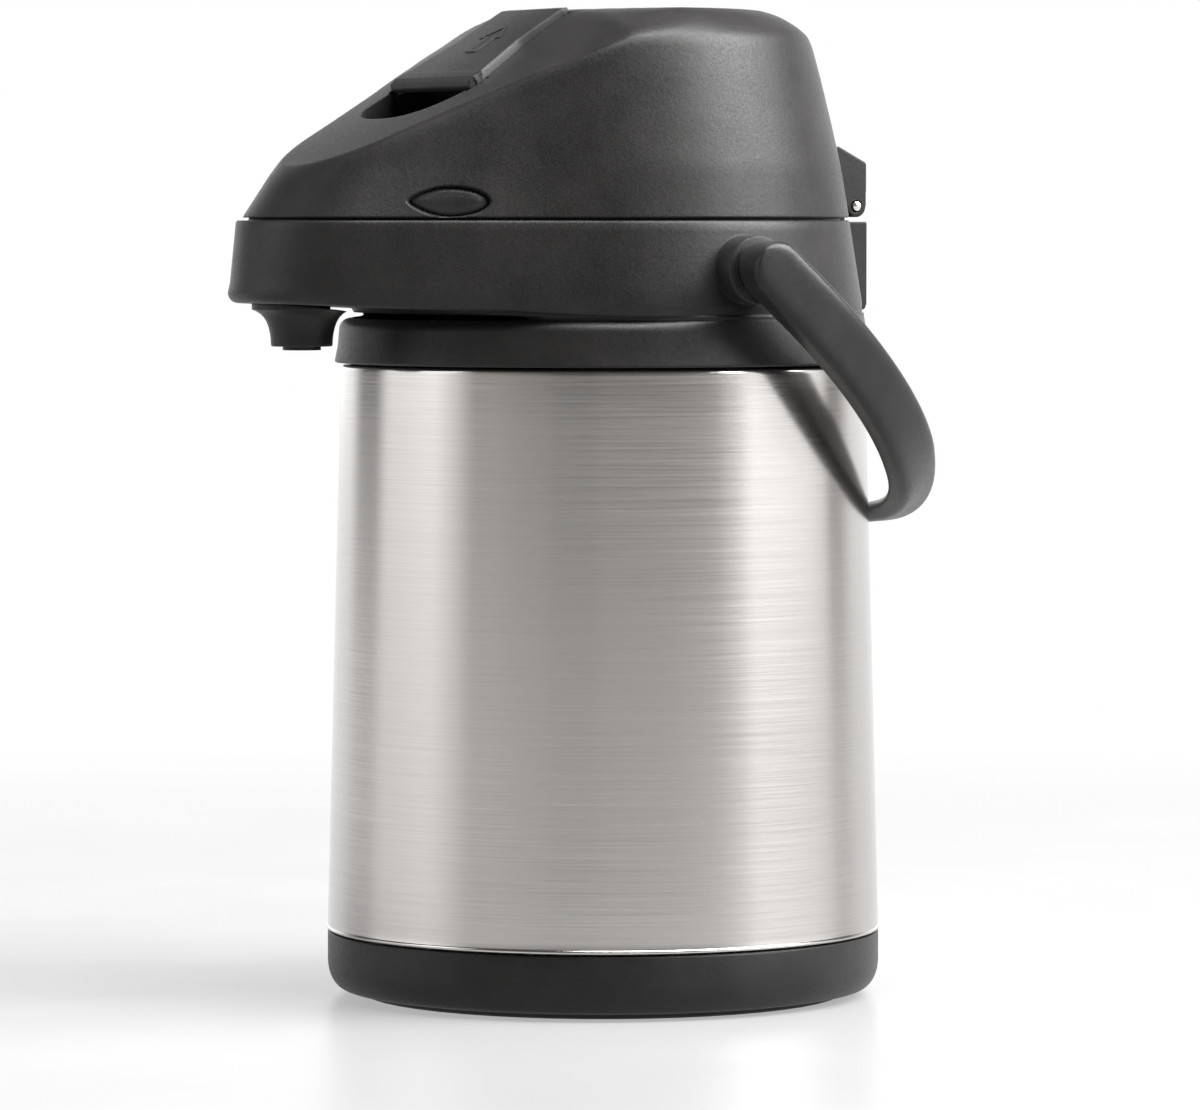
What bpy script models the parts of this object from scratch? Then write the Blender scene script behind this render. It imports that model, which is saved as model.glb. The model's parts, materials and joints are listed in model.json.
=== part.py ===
"""Thermal coffee airpot with a push-plate pump head: one object per physical piece.

Metres, +Z up, front (spout) towards -Y. The origin is on the pot's axis at the
flat underside of the foot pad. Sizes below are in millimetres.
"""

import math

import bmesh
import bpy
import numpy as np
from mathutils import Matrix, Vector

MM = 0.001
WELD = 2e-6
STEPS = 48
INNER_STEPS = 36

# Vacuum body
BODY_BOTTOM_R = 82.5
BODY_TOP_R = 78.2
COLLAR_Z = 189.0
PARTING_Z = 231.3
TOP_Z = 293.6

# Head plan: (z, rear radius, nose centre forward of the axis, nose radius)
HOUSING_PLAN = [
    (203.9, 77.5, 82.0, 36.4),
    (204.9, 77.5, 82.3, 37.7),
    (206.6, 77.3, 82.2, 38.0),
    (218.0, 75.5, 81.4, 37.5),
    (PARTING_Z, 73.5, 80.6, 37.0),
]
LID_PLAN = [
    (232.1, 73.4, 79.1, 36.5),
    (247.0, 71.0, 71.2, 34.0),
    (260.0, 68.1, 67.0, 31.5),
    (274.5, 64.6, 61.0, 28.0),
    (284.0, 62.0, 57.0, 25.5),
    (287.2, 60.2, 55.0, 24.0),
    (296.0, 46.0, 41.0, 10.0),
]
# Sloping front face of the lid along its centre line, and how much it crowns
FACET_Y = [-130.0, -112.0, -101.7, -89.0, -75.0, -57.0, -39.4, -25.9, -21.0, 100.0]
FACET_Z = [235.0, 243.5, 248.1, 254.5, 261.6, 271.0, 281.8, 291.0, 294.2, 330.0]
CROWN_Y = [-112.0, -57.0, -26.0]
CROWN = [0.0008, 0.0013, 0.0025]

HOUSING_WALL = 2.6
LID_WALL = 2.4
FLOOR_TOP = 209.5
NOSE_RISE = 0.041
GROOVE_R = 78.2
GROOVE_SHIFT = 4.5

# Pump, on an axis behind the pot's own
PUMP_Y = 14.0
PLATE_R = 32.0
BELLOWS_Z = (225.4, 284.0)

# Spout and its pipe
SPOUT_Y = -100.5
PIPE_Y = -31.5
DUCT_Z = 226.0
BALL_Z = 215.7
BALL_R = 3.9

# Latch lever: top surface along the centre line, as (y, z, half width)
LEVER_TOP = [
    (-57.0, 273.2, 25.0),
    (-48.0, 278.8, 22.0),
    (-39.6, 284.1, 19.0),
    (-26.4, 292.4, 19.0),
    (-24.4, 293.6, 19.0),
    (-22.4, 293.9, 19.0),
]
LEVER_PIVOT = (-25.4, 287.8)

# Rear hinge, handle pivot and handle path
HINGE = (76.2, 235.5)
HINGE_HALF = 20.0
PIVOT = (5.4, 217.0)
HANDLE_DOWN = math.radians(41.8)
HANDLE_HALF = 97.0
HANDLE_STRAIGHT = 12.0
HANDLE_REACH = 114.8

# Flank buttons
BUTTON = Vector((42.1, -74.0, 237.0))
BUTTON_OUT = Vector((0.865, -0.476, 0.16)).normalized()
BUTTON_ALONG = Vector((0.4824, 0.8763, 0.0))


# Rest position of each rigid body's joint; its pieces are parented to an empty there
BODIES = {
    "base": (0.0, 0.0, 0.0),
    "pot": (0.0, 0.0, 0.0),
    "lid": (0.0, *HINGE),
    "pump": (0.0, PUMP_Y, TOP_Z),
    "latch": (0.0, *LEVER_PIVOT),
    "button_right": tuple(BUTTON),
    "button_left": (-BUTTON.x, BUTTON.y, BUTTON.z),
    "handle": (0.0, *PIVOT),
    "valve_ball": (0.0, SPOUT_Y, BALL_Z),
}

# Colour, roughness and metallic value
FINISHES = {
    "black_plastic": ((0.028, 0.027, 0.027), 0.5, 0.0),
    "satin_plastic": ((0.022, 0.021, 0.021), 0.35, 0.0),
    "pale_plastic": ((0.78, 0.77, 0.73), 0.45, 0.0),
    "black_rubber": ((0.03, 0.03, 0.03), 0.8, 0.0),
    "silicone": ((0.75, 0.74, 0.70), 0.6, 0.0),
    "brushed_steel": ((0.66, 0.65, 0.64), 0.3, 1.0),
    "plain_steel": ((0.72, 0.72, 0.71), 0.25, 1.0),
    "nickel": ((0.80, 0.78, 0.74), 0.12, 1.0),
}

# Every piece, with the body that it moves with and its finish
PIECES = {
    "foot_pad": ("base", "black_rubber"),
    "swivel_base": ("base", "black_plastic"),
    "swivel_bearing": ("base", "pale_plastic"),
    "swivel_screw": ("base", "plain_steel"),
    "base_ring": ("pot", "black_plastic"),
    "outer_shell": ("pot", "brushed_steel"),
    "shell_bottom": ("pot", "plain_steel"),
    "inner_liner": ("pot", "plain_steel"),
    "head_housing": ("pot", "black_plastic"),
    "neck_nut": ("pot", "black_plastic"),
    "mouth_seal": ("pot", "silicone"),
    "filling_insert": ("pot", "black_plastic"),
    "dip_tube": ("pot", "plain_steel"),
    "outlet_elbow": ("pot", "pale_plastic"),
    "spout_nozzle": ("pot", "black_plastic"),
    "latch_catch": ("pot", "black_plastic"),
    "pivot_pin_left": ("pot", "plain_steel"),
    "pivot_pin_right": ("pot", "plain_steel"),
    "pivot_washer_left": ("pot", "pale_plastic"),
    "pivot_washer_right": ("pot", "pale_plastic"),
    "lid_cover": ("lid", "black_plastic"),
    "lid_base": ("lid", "black_plastic"),
    "lid_screw_1": ("lid", "plain_steel"),
    "lid_screw_2": ("lid", "plain_steel"),
    "lid_screw_3": ("lid", "plain_steel"),
    "lid_screw_4": ("lid", "plain_steel"),
    "pump_cup": ("lid", "pale_plastic"),
    "lid_seal": ("lid", "silicone"),
    "air_valve": ("lid", "silicone"),
    "bellows": ("lid", "pale_plastic"),
    "bellows_spring": ("lid", "plain_steel"),
    "latch_pin": ("lid", "plain_steel"),
    "latch_spring": ("lid", "plain_steel"),
    "hinge_pin": ("lid", "nickel"),
    "bellows_cap": ("pump", "pale_plastic"),
    "push_plate": ("pump", "black_plastic"),
    "latch_lever": ("latch", "black_plastic"),
    "side_button_right": ("button_right", "satin_plastic"),
    "side_button_left": ("button_left", "satin_plastic"),
    "bail_handle": ("handle", "satin_plastic"),
    "check_ball": ("valve_ball", "plain_steel"),
}


# ---------------------------------------------------------------- geometry


def make(name, points, faces):
    """One closed mesh object from points in millimetres."""
    work = bmesh.new()
    verts = [work.verts.new([round(c, 4) * MM for c in p]) for p in points]
    for face in faces:
        work.faces.new([verts[i] for i in face])
    bmesh.ops.triangulate(work, faces=work.faces)
    bmesh.ops.recalc_face_normals(work, faces=work.faces)
    if work.calc_volume(signed=True) < 0:
        bmesh.ops.reverse_faces(work, faces=work.faces)
    mesh = bpy.data.meshes.new(name)
    work.to_mesh(mesh)
    work.free()
    obj = bpy.data.objects.new(name, mesh)
    bpy.context.scene.collection.objects.link(obj)
    return obj


def loft(name, rings, closed=False):
    """Skin over rings of equally many points, capped unless the rings close on themselves."""
    rings = [np.asarray(ring, float) for ring in rings]
    count, size = len(rings), len(rings[0])
    points = np.concatenate(rings)
    faces = []
    for i in range(count if closed else count - 1):
        a, b = i * size, (i + 1) % count * size
        for j in range(size):
            k = (j + 1) % size
            faces.append((a + j, a + k, b + k, b + j))
    if not closed:
        faces.append(tuple(range(size)))
        faces.append(tuple(range((count - 1) * size, count * size)))
    return make(name, points, faces)


def revolve(name, profile, at=(0.0, 0.0), steps=STEPS):
    """Turn (r, z) points round a vertical axis. Ends on the axis are closed there."""
    points, rows = [], []
    for r, z in profile:
        if r < 1e-6:
            rows.append([len(points)] * steps)
            points.append((at[0], at[1], z))
            continue
        rows.append(list(range(len(points), len(points) + steps)))
        for k in range(steps):
            a = 2 * math.pi * (k + 0.5) / steps
            points.append((at[0] + r * math.cos(a), at[1] + r * math.sin(a), z))
    faces = []
    for i in range(len(rows)):
        low, high = rows[i], rows[(i + 1) % len(rows)]
        for k in range(steps):
            n = (k + 1) % steps
            corners = [low[k], low[n], high[n], high[k]]
            face = list(dict.fromkeys(corners))
            if len(face) > 2:
                faces.append(face)
    return make(name, points, faces)


def rod(name, start, end, radius, steps=32):
    """Round bar between two points."""
    start, end = Vector(start), Vector(end)
    along = (end - start).normalized()
    side = along.orthogonal().normalized()
    up = along.cross(side)
    angles = [2 * math.pi * (k + 0.5) / steps for k in range(steps)]
    ring = [side * math.cos(a) * radius + up * math.sin(a) * radius for a in angles]
    return loft(name, [[start + p for p in ring], [end + p for p in ring]])


def box(name, low, high):
    (x0, y0, z0), (x1, y1, z1) = low, high
    ring = [(x0, y0), (x1, y0), (x1, y1), (x0, y1)]
    return loft(name, [[(x, y, z) for x, y in ring] for z in (z0, z1)])


def bar(name, outline, x0, x1):
    """Side-view outline of (y, z) points, extruded across from x0 to x1."""
    return loft(name, [[(x, y, z) for y, z in outline] for x in (x0, x1)])


def combine(target, other, operation):
    """Boolean of two objects, applied at once."""
    modifier = target.modifiers.new("combine", "BOOLEAN")
    modifier.operation = operation
    modifier.solver = "EXACT"
    modifier.object = other
    graph = bpy.context.evaluated_depsgraph_get()
    mesh = bpy.data.meshes.new_from_object(target.evaluated_get(graph))
    target.modifiers.clear()
    target.data = mesh
    work = bmesh.new()
    work.from_mesh(mesh)
    bmesh.ops.remove_doubles(work, verts=work.verts, dist=WELD)
    work.to_mesh(mesh)
    work.free()
    bpy.data.objects.remove(other)
    return target


def cut(target, *others):
    for other in others:
        combine(target, other, "DIFFERENCE")
    return target


def join(target, *others):
    for other in others:
        combine(target, other, "UNION")
    return target


def plan(rear, nose_y, nose_r, inset=0.0, rear_steps=28, nose_steps=11, flank=2):
    """Head outline from above: a round rear and a smaller round nose, joined by tangents."""
    rear, nose_r = rear - inset, nose_r - inset
    beta = math.asin((rear - nose_r) / nose_y)
    points = []
    for a in np.linspace(-beta, math.pi + beta, rear_steps):
        points.append((rear * math.cos(a), rear * math.sin(a)))
    nose = [
        (nose_r * math.cos(a), -nose_y + nose_r * math.sin(a))
        for a in np.linspace(math.pi + beta, 2 * math.pi - beta, nose_steps)
    ]
    for start, end, tail in ((points[-1], nose[0], nose), (nose[-1], points[0], [])):
        for k in range(1, flank):
            t = k / flank
            points.append(
                (start[0] + (end[0] - start[0]) * t, start[1] + (end[1] - start[1]) * t)
            )
        points.extend(tail)
    return points


def on_circle(outline, radius):
    """Points of a circle in the same directions from the axis as the outline's."""
    lengths = [math.hypot(x, y) for x, y in outline]
    return [(x * radius / r, y * radius / r) for (x, y), r in zip(outline, lengths)]


def groove_outline(outline):
    """Circle set back from the front by GROOVE_SHIFT, nowhere outside the collar."""
    points = []
    for x, y in on_circle(outline, 1.0):
        reach = GROOVE_SHIFT * y + math.sqrt(GROOVE_R**2 - (GROOVE_SHIFT * x) ** 2)
        r = min(77.6, reach)
        points.append((x * r, y * r))
    return points


def plan_rings(sections, inset=0.0, tilt=0.0):
    """Head outlines, one above the other. tilt raises the lowest three towards the nose."""
    rings = []
    for i, (z, rear, nose_y, nose_r) in enumerate(sections):
        rise = tilt if i < 3 else 0.0
        rings.append(
            [
                (x, y, z + rise * max(0.0, -y - 30.0))
                for x, y in plan(rear, nose_y, nose_r, inset)
            ]
        )
    return rings


def plan_loft(name, sections, inset=0.0):
    return loft(name, plan_rings(sections, inset))


def facet_height(x, y):
    return np.interp(y, FACET_Y, FACET_Z) - np.interp(y, CROWN_Y, CROWN) * x * x


def under_facet(name, drop=0.0, top=TOP_Z):
    """Everything below the lid's sloping front face and flat top, lowered by drop."""
    xs = np.linspace(-90.0, 90.0, 14)
    ys = [-135.0, -112.0, -101.7, -89.0, -75.0, -57.0]
    ys += [-39.4, -32.0, -25.9, -21.0, -14.0, -6.0, 4.0, 20.0, 95.0]
    high = [[min(top, facet_height(x, y)) - drop for x in xs] for y in ys]
    points = [(x, y, high[j][i]) for j, y in enumerate(ys) for i, x in enumerate(xs)]
    points += [(x, y, 190.0) for y in ys for x in xs]
    wide, deep = len(xs), len(ys)
    base = wide * deep
    faces = []
    for j in range(deep - 1):
        for i in range(wide - 1):
            a, b = j * wide + i, (j + 1) * wide + i
            faces += [(a, a + 1, b + 1), (a, b + 1, b)]
            faces.append((base + a, base + b, base + b + 1, base + a + 1))
    for i in range(wide - 1):
        for a in (i, (deep - 1) * wide + i):
            faces.append((a, a + 1, base + a + 1, base + a))
    for j in range(deep - 1):
        for a in (j * wide, j * wide + wide - 1):
            faces.append((a, a + wide, base + a + wide, base + a))
    return make(name, points, faces)


# ---------------------------------------------------------------- body


def build_base():
    revolve("foot_pad", [(0, 0), (71.4, 0), (72, 0.5), (72, 1.3), (0, 1.3)])
    revolve(
        "swivel_base",
        [(6.6, 1.6), (75.4, 1.6), (75.9, 2.1), (75.9, 4.5), (75.4, 5.0), (57.0, 5.0)]
        + [(57.0, 3.8), (50.0, 3.8), (50.0, 5.0), (2.9, 5.0), (2.9, 3.5), (6.6, 3.5)],
        steps=32,
    )
    bearing = [(50.6, 4.1), (56.4, 4.1), (56.4, 5.4), (50.6, 5.4)]
    revolve("swivel_bearing", bearing, steps=32)
    revolve(
        "swivel_screw",
        [(0, 1.8), (6.2, 1.8), (6.2, 3.2), (2.5, 3.2), (2.5, 13.0), (0, 13.0)],
        steps=24,
    )
    revolve(
        "base_ring",
        [(77.0, 2.0), (77.4, 2.0), (79.6, 3.4), (81.4, 5.6), (82.3, 8.2)]
        + [(BODY_BOTTOM_R, 10.5), (BODY_BOTTOM_R, 18.9), (82.1, 19.3), (80.3, 19.3)]
        + [(80.3, 7.6), (8.0, 7.6), (8.0, 14.0), (2.9, 14.0), (2.9, 5.7), (77.0, 5.7)],
    )


def build_vacuum_body():
    outer = [(79.9, 12.0), (79.9, 19.6), (82.1, 19.7), (BODY_BOTTOM_R, 20.2)]
    outer += [(BODY_TOP_R, 187.7), (77.2, 188.7), (75.3, 188.6), (72.0, 194.6)]
    outer += [(60.0, 199.8), (50.0, 202.8), (46.5, 206.4), (46.5, 213.6)]
    inner = [(45.7, 213.6), (45.7, 206.0), (49.6, 202.0), (59.7, 199.0), (71.2, 194.2)]
    inner += [(74.5, 187.9), (77.4, 187.4), (81.7, 21.0), (79.1, 20.7), (79.1, 12.0)]
    revolve("outer_shell", outer + inner)
    revolve(
        "shell_bottom",
        [(0, 16.2), (60.0, 16.2), (70.0, 15.0), (78.5, 12.6), (78.5, 13.5)]
        + [(70.0, 15.9), (60.0, 17.1), (0, 17.1)],
        steps=INNER_STEPS,
    )
    outer = [(0, 24.0), (60.0, 24.0), (72.5, 29.0), (76.2, 42.0), (73.0, 178.0)]
    outer += [(69.0, 188.5), (50.0, 197.4), (40.6, 203.4), (40.6, 214.2), (46.4, 214.2)]
    inner = [(46.4, 214.9), (40.0, 214.9), (40.0, 203.0), (49.7, 196.8), (68.5, 188.1)]
    inner += [(72.4, 177.9), (75.6, 42.1), (72.1, 29.5), (59.9, 24.6), (0, 24.6)]
    revolve("inner_liner", outer + inner, steps=INNER_STEPS)


def build_housing():
    lower = [(COLLAR_Z, 80.1), (192.6, 79.5), (198.6, 78.8), (201.6, 77.6)]
    outline = plan(*HOUSING_PLAN[1][1:])
    rings = [[(x, y, z) for x, y in on_circle(outline, r)] for z, r in lower]
    # groove between the collar's shoulder and the overhanging nose, fading out on the flanks
    for z in (202.6, 203.2):
        rings.append([(x, y, z) for x, y in groove_outline(outline)])
    rings += plan_rings(HOUSING_PLAN, tilt=NOSE_RISE)
    housing = loft("head_housing", rings)
    wedge = [(70.0, 230.8), (79.8, 230.8), (79.8, 205.6), (79.2, 204.4), (70.0, 204.0)]
    join(housing, bar("leaf", wedge, -HINGE_HALF, HINGE_HALF))
    for side in (-1, 1):
        y, z = PIVOT
        start, end = (side * 60.0, y, z), (side * 83.5, y, z)
        join(housing, rod("boss", start, end, 10.0, 28))
    cavity = [
        (z, rear, nose_y, nose_r)
        for z, rear, nose_y, nose_r in HOUSING_PLAN
        if z > FLOOR_TOP
    ]
    low = (FLOOR_TOP, 76.9, 82.0, 37.8)
    high = (PARTING_Z + 3.0, 73.1, 80.4, 36.9)
    cut(housing, plan_loft("cavity", [low] + cavity + [high], HOUSING_WALL))
    under = [(0, 185.0), (75.9, 185.0), (75.9, 190.5), (74.9, 203.6), (71.5, 206.9)]
    under += [(46.9, 206.9), (46.9, 212.0), (0, 212.0)]
    cut(housing, revolve("under", under, steps=INNER_STEPS))
    spout = (0.0, SPOUT_Y)
    cut(housing, revolve("hole", [(0, 200), (8.8, 200), (8.8, 215), (0, 215)], spout, 24))
    for side in (-1, 1):
        y, z = PIVOT
        cut(housing, rod("hole", (side * 68.0, y, z), (side * 90.0, y, z), 4.3, 20))
    # middle knuckle of the rear hinge
    y, z = HINGE
    knuckle = rod("knuckle", (-7.8, y, z), (7.8, y, z), 3.3, 20)
    join(knuckle, box("web", (-7.8, 74.0, 229.0), (7.8, 79.4, z)))
    join(housing, knuckle)
    cut(housing, rod("hole", (-9.0, y, z), (9.0, y, z), 1.9, 16))


def build_neck():
    nut = revolve(
        "neck_nut",
        [(47.1, 209.9), (53.4, 209.9), (54.0, 210.5), (54.0, 213.6), (53.4, 214.2)]
        + [(47.1, 214.2)],
        steps=INNER_STEPS,
    )
    for k in range(8):
        a = 2 * math.pi * (k + 0.5) / 8
        at = (54.4 * math.cos(a), 54.4 * math.sin(a))
        cut(nut, revolve("notch", [(0, 205), (2.6, 205), (2.6, 220), (0, 220)], at, 10))
    seal = [(40.4, 215.2), (46.0, 215.2), (46.0, 216.8), (40.4, 216.8)]
    revolve("mouth_seal", seal, steps=INNER_STEPS)
    insert = revolve(
        "filling_insert",
        [(0, 217.1), (36.9, 217.1), (36.9, 205.0), (39.5, 205.0), (39.5, 217.1)]
        + [(46.6, 217.1), (47.0, 217.5), (47.0, 219.6), (46.6, 220.0), (0, 220.0)],
        steps=INNER_STEPS,
    )
    opening = [(0, 212), (21.5, 212), (21.5, 225), (0, 225)]
    cut(insert, revolve("opening", opening, (0.0, PUMP_Y), 32))
    hole = [(0, 212), (5.3, 212), (5.3, 225), (0, 225)]
    cut(insert, revolve("hole", hole, (0.0, PIPE_Y), 24))
    revolve(
        "dip_tube",
        [(3.9, 30.0), (4.6, 30.0), (4.6, 224.0), (3.9, 224.0)],
        (0.0, PIPE_Y),
        24,
    )


def build_outlet():
    riser = [(0, 220.3), (7.4, 220.3), (7.4, 230.6), (6.8, 231.2), (0, 231.2)]
    elbow = revolve("outlet_elbow", riser, (0.0, PIPE_Y), 24)
    join(elbow, rod("duct", (0, PIPE_Y, DUCT_Z), (0, SPOUT_Y, DUCT_Z), 5.0, 24))
    leg = [(0, 193.5), (5.6, 193.5), (5.6, 214.0), (6.6, 215.0), (6.6, 230.6)]
    join(elbow, revolve("leg", leg + [(6.0, 231.2), (0, 231.2)], (0.0, SPOUT_Y), 24))
    bore = [(0, 218.0), (4.9, 218.0), (4.9, 229.0), (0, 229.0)]
    cut(elbow, revolve("bore", bore, (0.0, PIPE_Y), 20))
    cut(elbow, rod("bore", (0, PIPE_Y, DUCT_Z), (0, SPOUT_Y, DUCT_Z), 3.4, 16))
    bore = [(0, 190.0), (3.1, 190.0), (3.1, 213.0), (4.4, 213.0), (4.4, 229.0)]
    cut(elbow, revolve("bore", bore + [(0, 229.0)], (0.0, SPOUT_Y), 20))
    ball = []
    for a in np.linspace(0.0, math.pi, 9):
        ball.append((BALL_R * math.sin(a), BALL_Z - BALL_R * math.cos(a)))
    ball[0], ball[-1] = (0.0, ball[0][1]), (0.0, ball[-1][1])
    revolve("check_ball", ball, (0.0, SPOUT_Y), 14)
    outer = [(6.0, 194.6), (8.5, 194.6), (9.0, 195.2), (9.3, 198.5), (10.3, 201.8)]
    outer += [(12.2, 204.3), (14.0, 205.5), (14.0, 210.0), (6.0, 210.0)]
    nozzle = revolve("spout_nozzle", outer, (0.0, SPOUT_Y), 24)
    # trimmed just under the nose's sloping underside
    trim = [(-70.0, 202.6), (-125.0, 207.9), (-125.0, 220.0), (-70.0, 220.0)]
    cut(nozzle, bar("trim", trim, -20.0, 20.0))
    neck = [(6.0, 200.0), (8.4, 200.0), (8.4, 212.4), (6.0, 212.4)]
    join(nozzle, revolve("neck", neck, (0.0, SPOUT_Y), 24))


# ---------------------------------------------------------------- lid


def lever_rings(half_extra, above, below, reach=0.0):
    """Rings across the latch lever: its top raised by above, its underside lowered by below."""
    path = [Vector((0, y, z)) for y, z, _ in LEVER_TOP]
    rings = []
    for i, (y, z, half) in enumerate(LEVER_TOP):
        a, b = path[max(i - 1, 0)], path[min(i + 1, len(path) - 1)]
        along = (b - a).normalized()
        up = Vector((0, -along.z, along.y))
        at = Vector((0, y, z))
        if i == 0:
            at -= along * reach
        if i == len(path) - 1:
            at += along * reach
            up = Vector((0, 0, 1))
        w = half + half_extra
        high, low = at + up * above, at - up * below
        rings.append(
            [(-w, high.y, high.z), (w, high.y, high.z), (w, low.y, low.z), (-w, low.y, low.z)]
        )
    return rings


def button_frame(side, along, up, out):
    """A point in the flank button's own frame, mirrored for the left side."""
    normal, run = BUTTON_OUT, BUTTON_ALONG
    rise = normal.cross(run)
    if rise.z < 0:
        rise = -rise
    p = BUTTON + run * along + rise * up + normal * out
    return (side * p.x, p.y, p.z)


def lens(grow, count=20):
    """Almond outline, sharper at its front end."""
    points = []
    for k in range(count):
        a = 2 * math.pi * k / count
        c, s = math.cos(a), math.sin(a)
        thin = 1.0 if c > 0 else 1.0 - 0.42 * c * c
        points.append(((11.2 + grow) * c, (4.0 + grow) * s * thin))
    return points


def lens_solid(name, side, layers):
    """Almond layers as (grow, out) pairs."""
    rings = [[button_frame(side, a, u, out) for a, u in lens(grow)] for grow, out in layers]
    return loft(name, rings)


def pocket_outline(grow):
    """Finger pocket from above: round front, straight back under the lever's lip."""
    points = []
    for a in np.linspace(math.pi, 2 * math.pi, 17):
        c, s = math.cos(a), math.sin(a)
        x = (24.0 + grow) * math.copysign(abs(c) ** 0.8, c)
        points.append((x, -57.0 + (19.2 + grow) * math.copysign(abs(s) ** 0.9, s)))
    return points + [(22.0 + grow, -44.0 + grow), (-22.0 - grow, -44.0 + grow)]


def pocket_solid(name, grow, low, high):
    return loft(name, [[(x, y, z) for x, y in pocket_outline(grow)] for z in (low, high)])


def upright(name, at, radius, low, high, steps=20):
    return revolve(name, [(0, low), (radius, low), (radius, high), (0, high)], at, steps)


POSTS = [(48.0, 22.0), (-48.0, 22.0), (34.0, -50.0), (-34.0, -50.0)]


def build_lid_cover():
    cover = plan_loft("lid_cover", LID_PLAN)
    combine(cover, under_facet("face"), "INTERSECT")
    leaf = [(68.0, 239.4), (79.6, 239.4), (79.6, 248.4), (70.0, 253.4), (66.0, 253.4)]
    join(cover, bar("leaf", leaf, -HINGE_HALF, HINGE_HALF))

    hollow = plan_loft("hollow", [(228.0, 74.0, 81.0, 37.2)] + LID_PLAN, LID_WALL)
    combine(hollow, under_facet("inner face", 2.7, TOP_Z), "INTERSECT")
    cut(hollow, pocket_solid("tub", 2.2, 251.8, 300.0))
    for at in POSTS:
        cut(hollow, upright("post", at, 4.0, 235.1, 300.0, 10))
    tube = [(32.8, 280.0), (34.6, 280.0), (34.6, 300.0), (32.8, 300.0)]
    cut(hollow, revolve("guide", tube, (0.0, PUMP_Y), 32))
    y, z = LEVER_PIVOT
    for side in (-1, 1):
        low, high = sorted((side * 19.9, side * 21.8))
        rib = [(y - 4.0, z - 6.0), (y + 3.4, z - 6.0), (y + 3.4, 300.0), (y - 4.0, 300.0)]
        cut(hollow, bar("rib", rib, low, high))
    cut(cover, hollow)

    cut(cover, pocket_solid("pocket", 0.0, 254.0, 300.0))
    cut(cover, loft("lever gap", lever_rings(0.5, 9.0, 4.7, 1.3)))
    lip = [(-59.4, 274.0), (-59.4, 268.8), (-56.6, 267.9), (-52.0, 270.4), (-52.0, 277.0)]
    cut(cover, bar("lip gap", lip, -24.8, 24.8))
    cut(cover, upright("well", (0.0, PUMP_Y), PLATE_R + 0.8, 285.0, 300.0, 40))
    for at in POSTS:
        cut(cover, upright("bore", at, 1.8, 230.0, 252.0, 8))
    for side in (-1, 1):
        cut(cover, lens_solid("hole", side, [(0.4, -6.0), (0.4, -0.9), (1.3, 0.6), (1.3, 4.0)]))
    y, z = HINGE
    for side in (-1, 1):
        inner, outer = side * 8.3, side * HINGE_HALF
        knuckle = rod("knuckle", (inner, y, z), (outer, y, z), 3.3, 20)
        low, high = sorted((inner, outer))
        join(knuckle, box("web", (low, 71.4, z), (high, 79.5, 240.6)))
        join(cover, knuckle)
    cut(cover, rod("bore", (-25, y, z), (25, y, z), 1.9, 16))
    cut(cover, rod("clearance", (-8.1, y, z), (8.1, y, z), 3.8, 20))
    y, z = LEVER_PIVOT
    cut(cover, rod("bore", (-21.4, y, z), (21.4, y, z), 1.5, 16))


def build_lid_inside():
    sections = [(232.4, 73.3, 79.0, 36.4), (234.6, 73.0, 78.0, 36.1)]
    base = plan_loft("lid_base", sections, 3.1)
    cut(base, upright("hole", (0.0, PUMP_Y), 33.0, 230.0, 240.0, 32))
    for side in (-1, 1):
        low, high = sorted((side * 9.5, side * 18.5))
        cut(base, box("slot", (low, -46.0, 230.0), (high, -25.5, 240.0)))
        cut(base, lens_solid("notch", side, [(2.6, -10.0), (2.6, 4.0)]))
    for at in POSTS:
        cut(base, upright("hole", at, 1.9, 230.0, 240.0, 8))
    for number, at in enumerate(POSTS, 1):
        head = [(0, 230.4), (2.4, 230.4), (3.2, 231.0), (3.2, 232.1), (1.4, 232.1)]
        revolve(f"lid_screw_{number}", head + [(1.4, 248.0), (0, 248.0)], at, 10)
    at = (0.0, PUMP_Y)
    revolve("lid_seal", [(25.0, 220.4), (30.0, 220.4), (30.0, 222.2), (25.0, 222.2)], at, INNER_STEPS)
    cup = [(5.0, 222.6), (31.0, 222.6), (31.8, 223.4), (31.8, 234.9), (40.0, 234.9)]
    cup += [(40.0, 237.2), (29.6, 237.2), (29.6, 225.0), (5.0, 225.0)]
    revolve("pump_cup", cup, at, INNER_STEPS)
    valve = [(0, 222.8), (3.6, 222.8), (3.6, 225.3), (8.5, 225.3), (8.5, 226.4), (0, 226.4)]
    revolve("air_valve", valve, at, 24)


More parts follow.
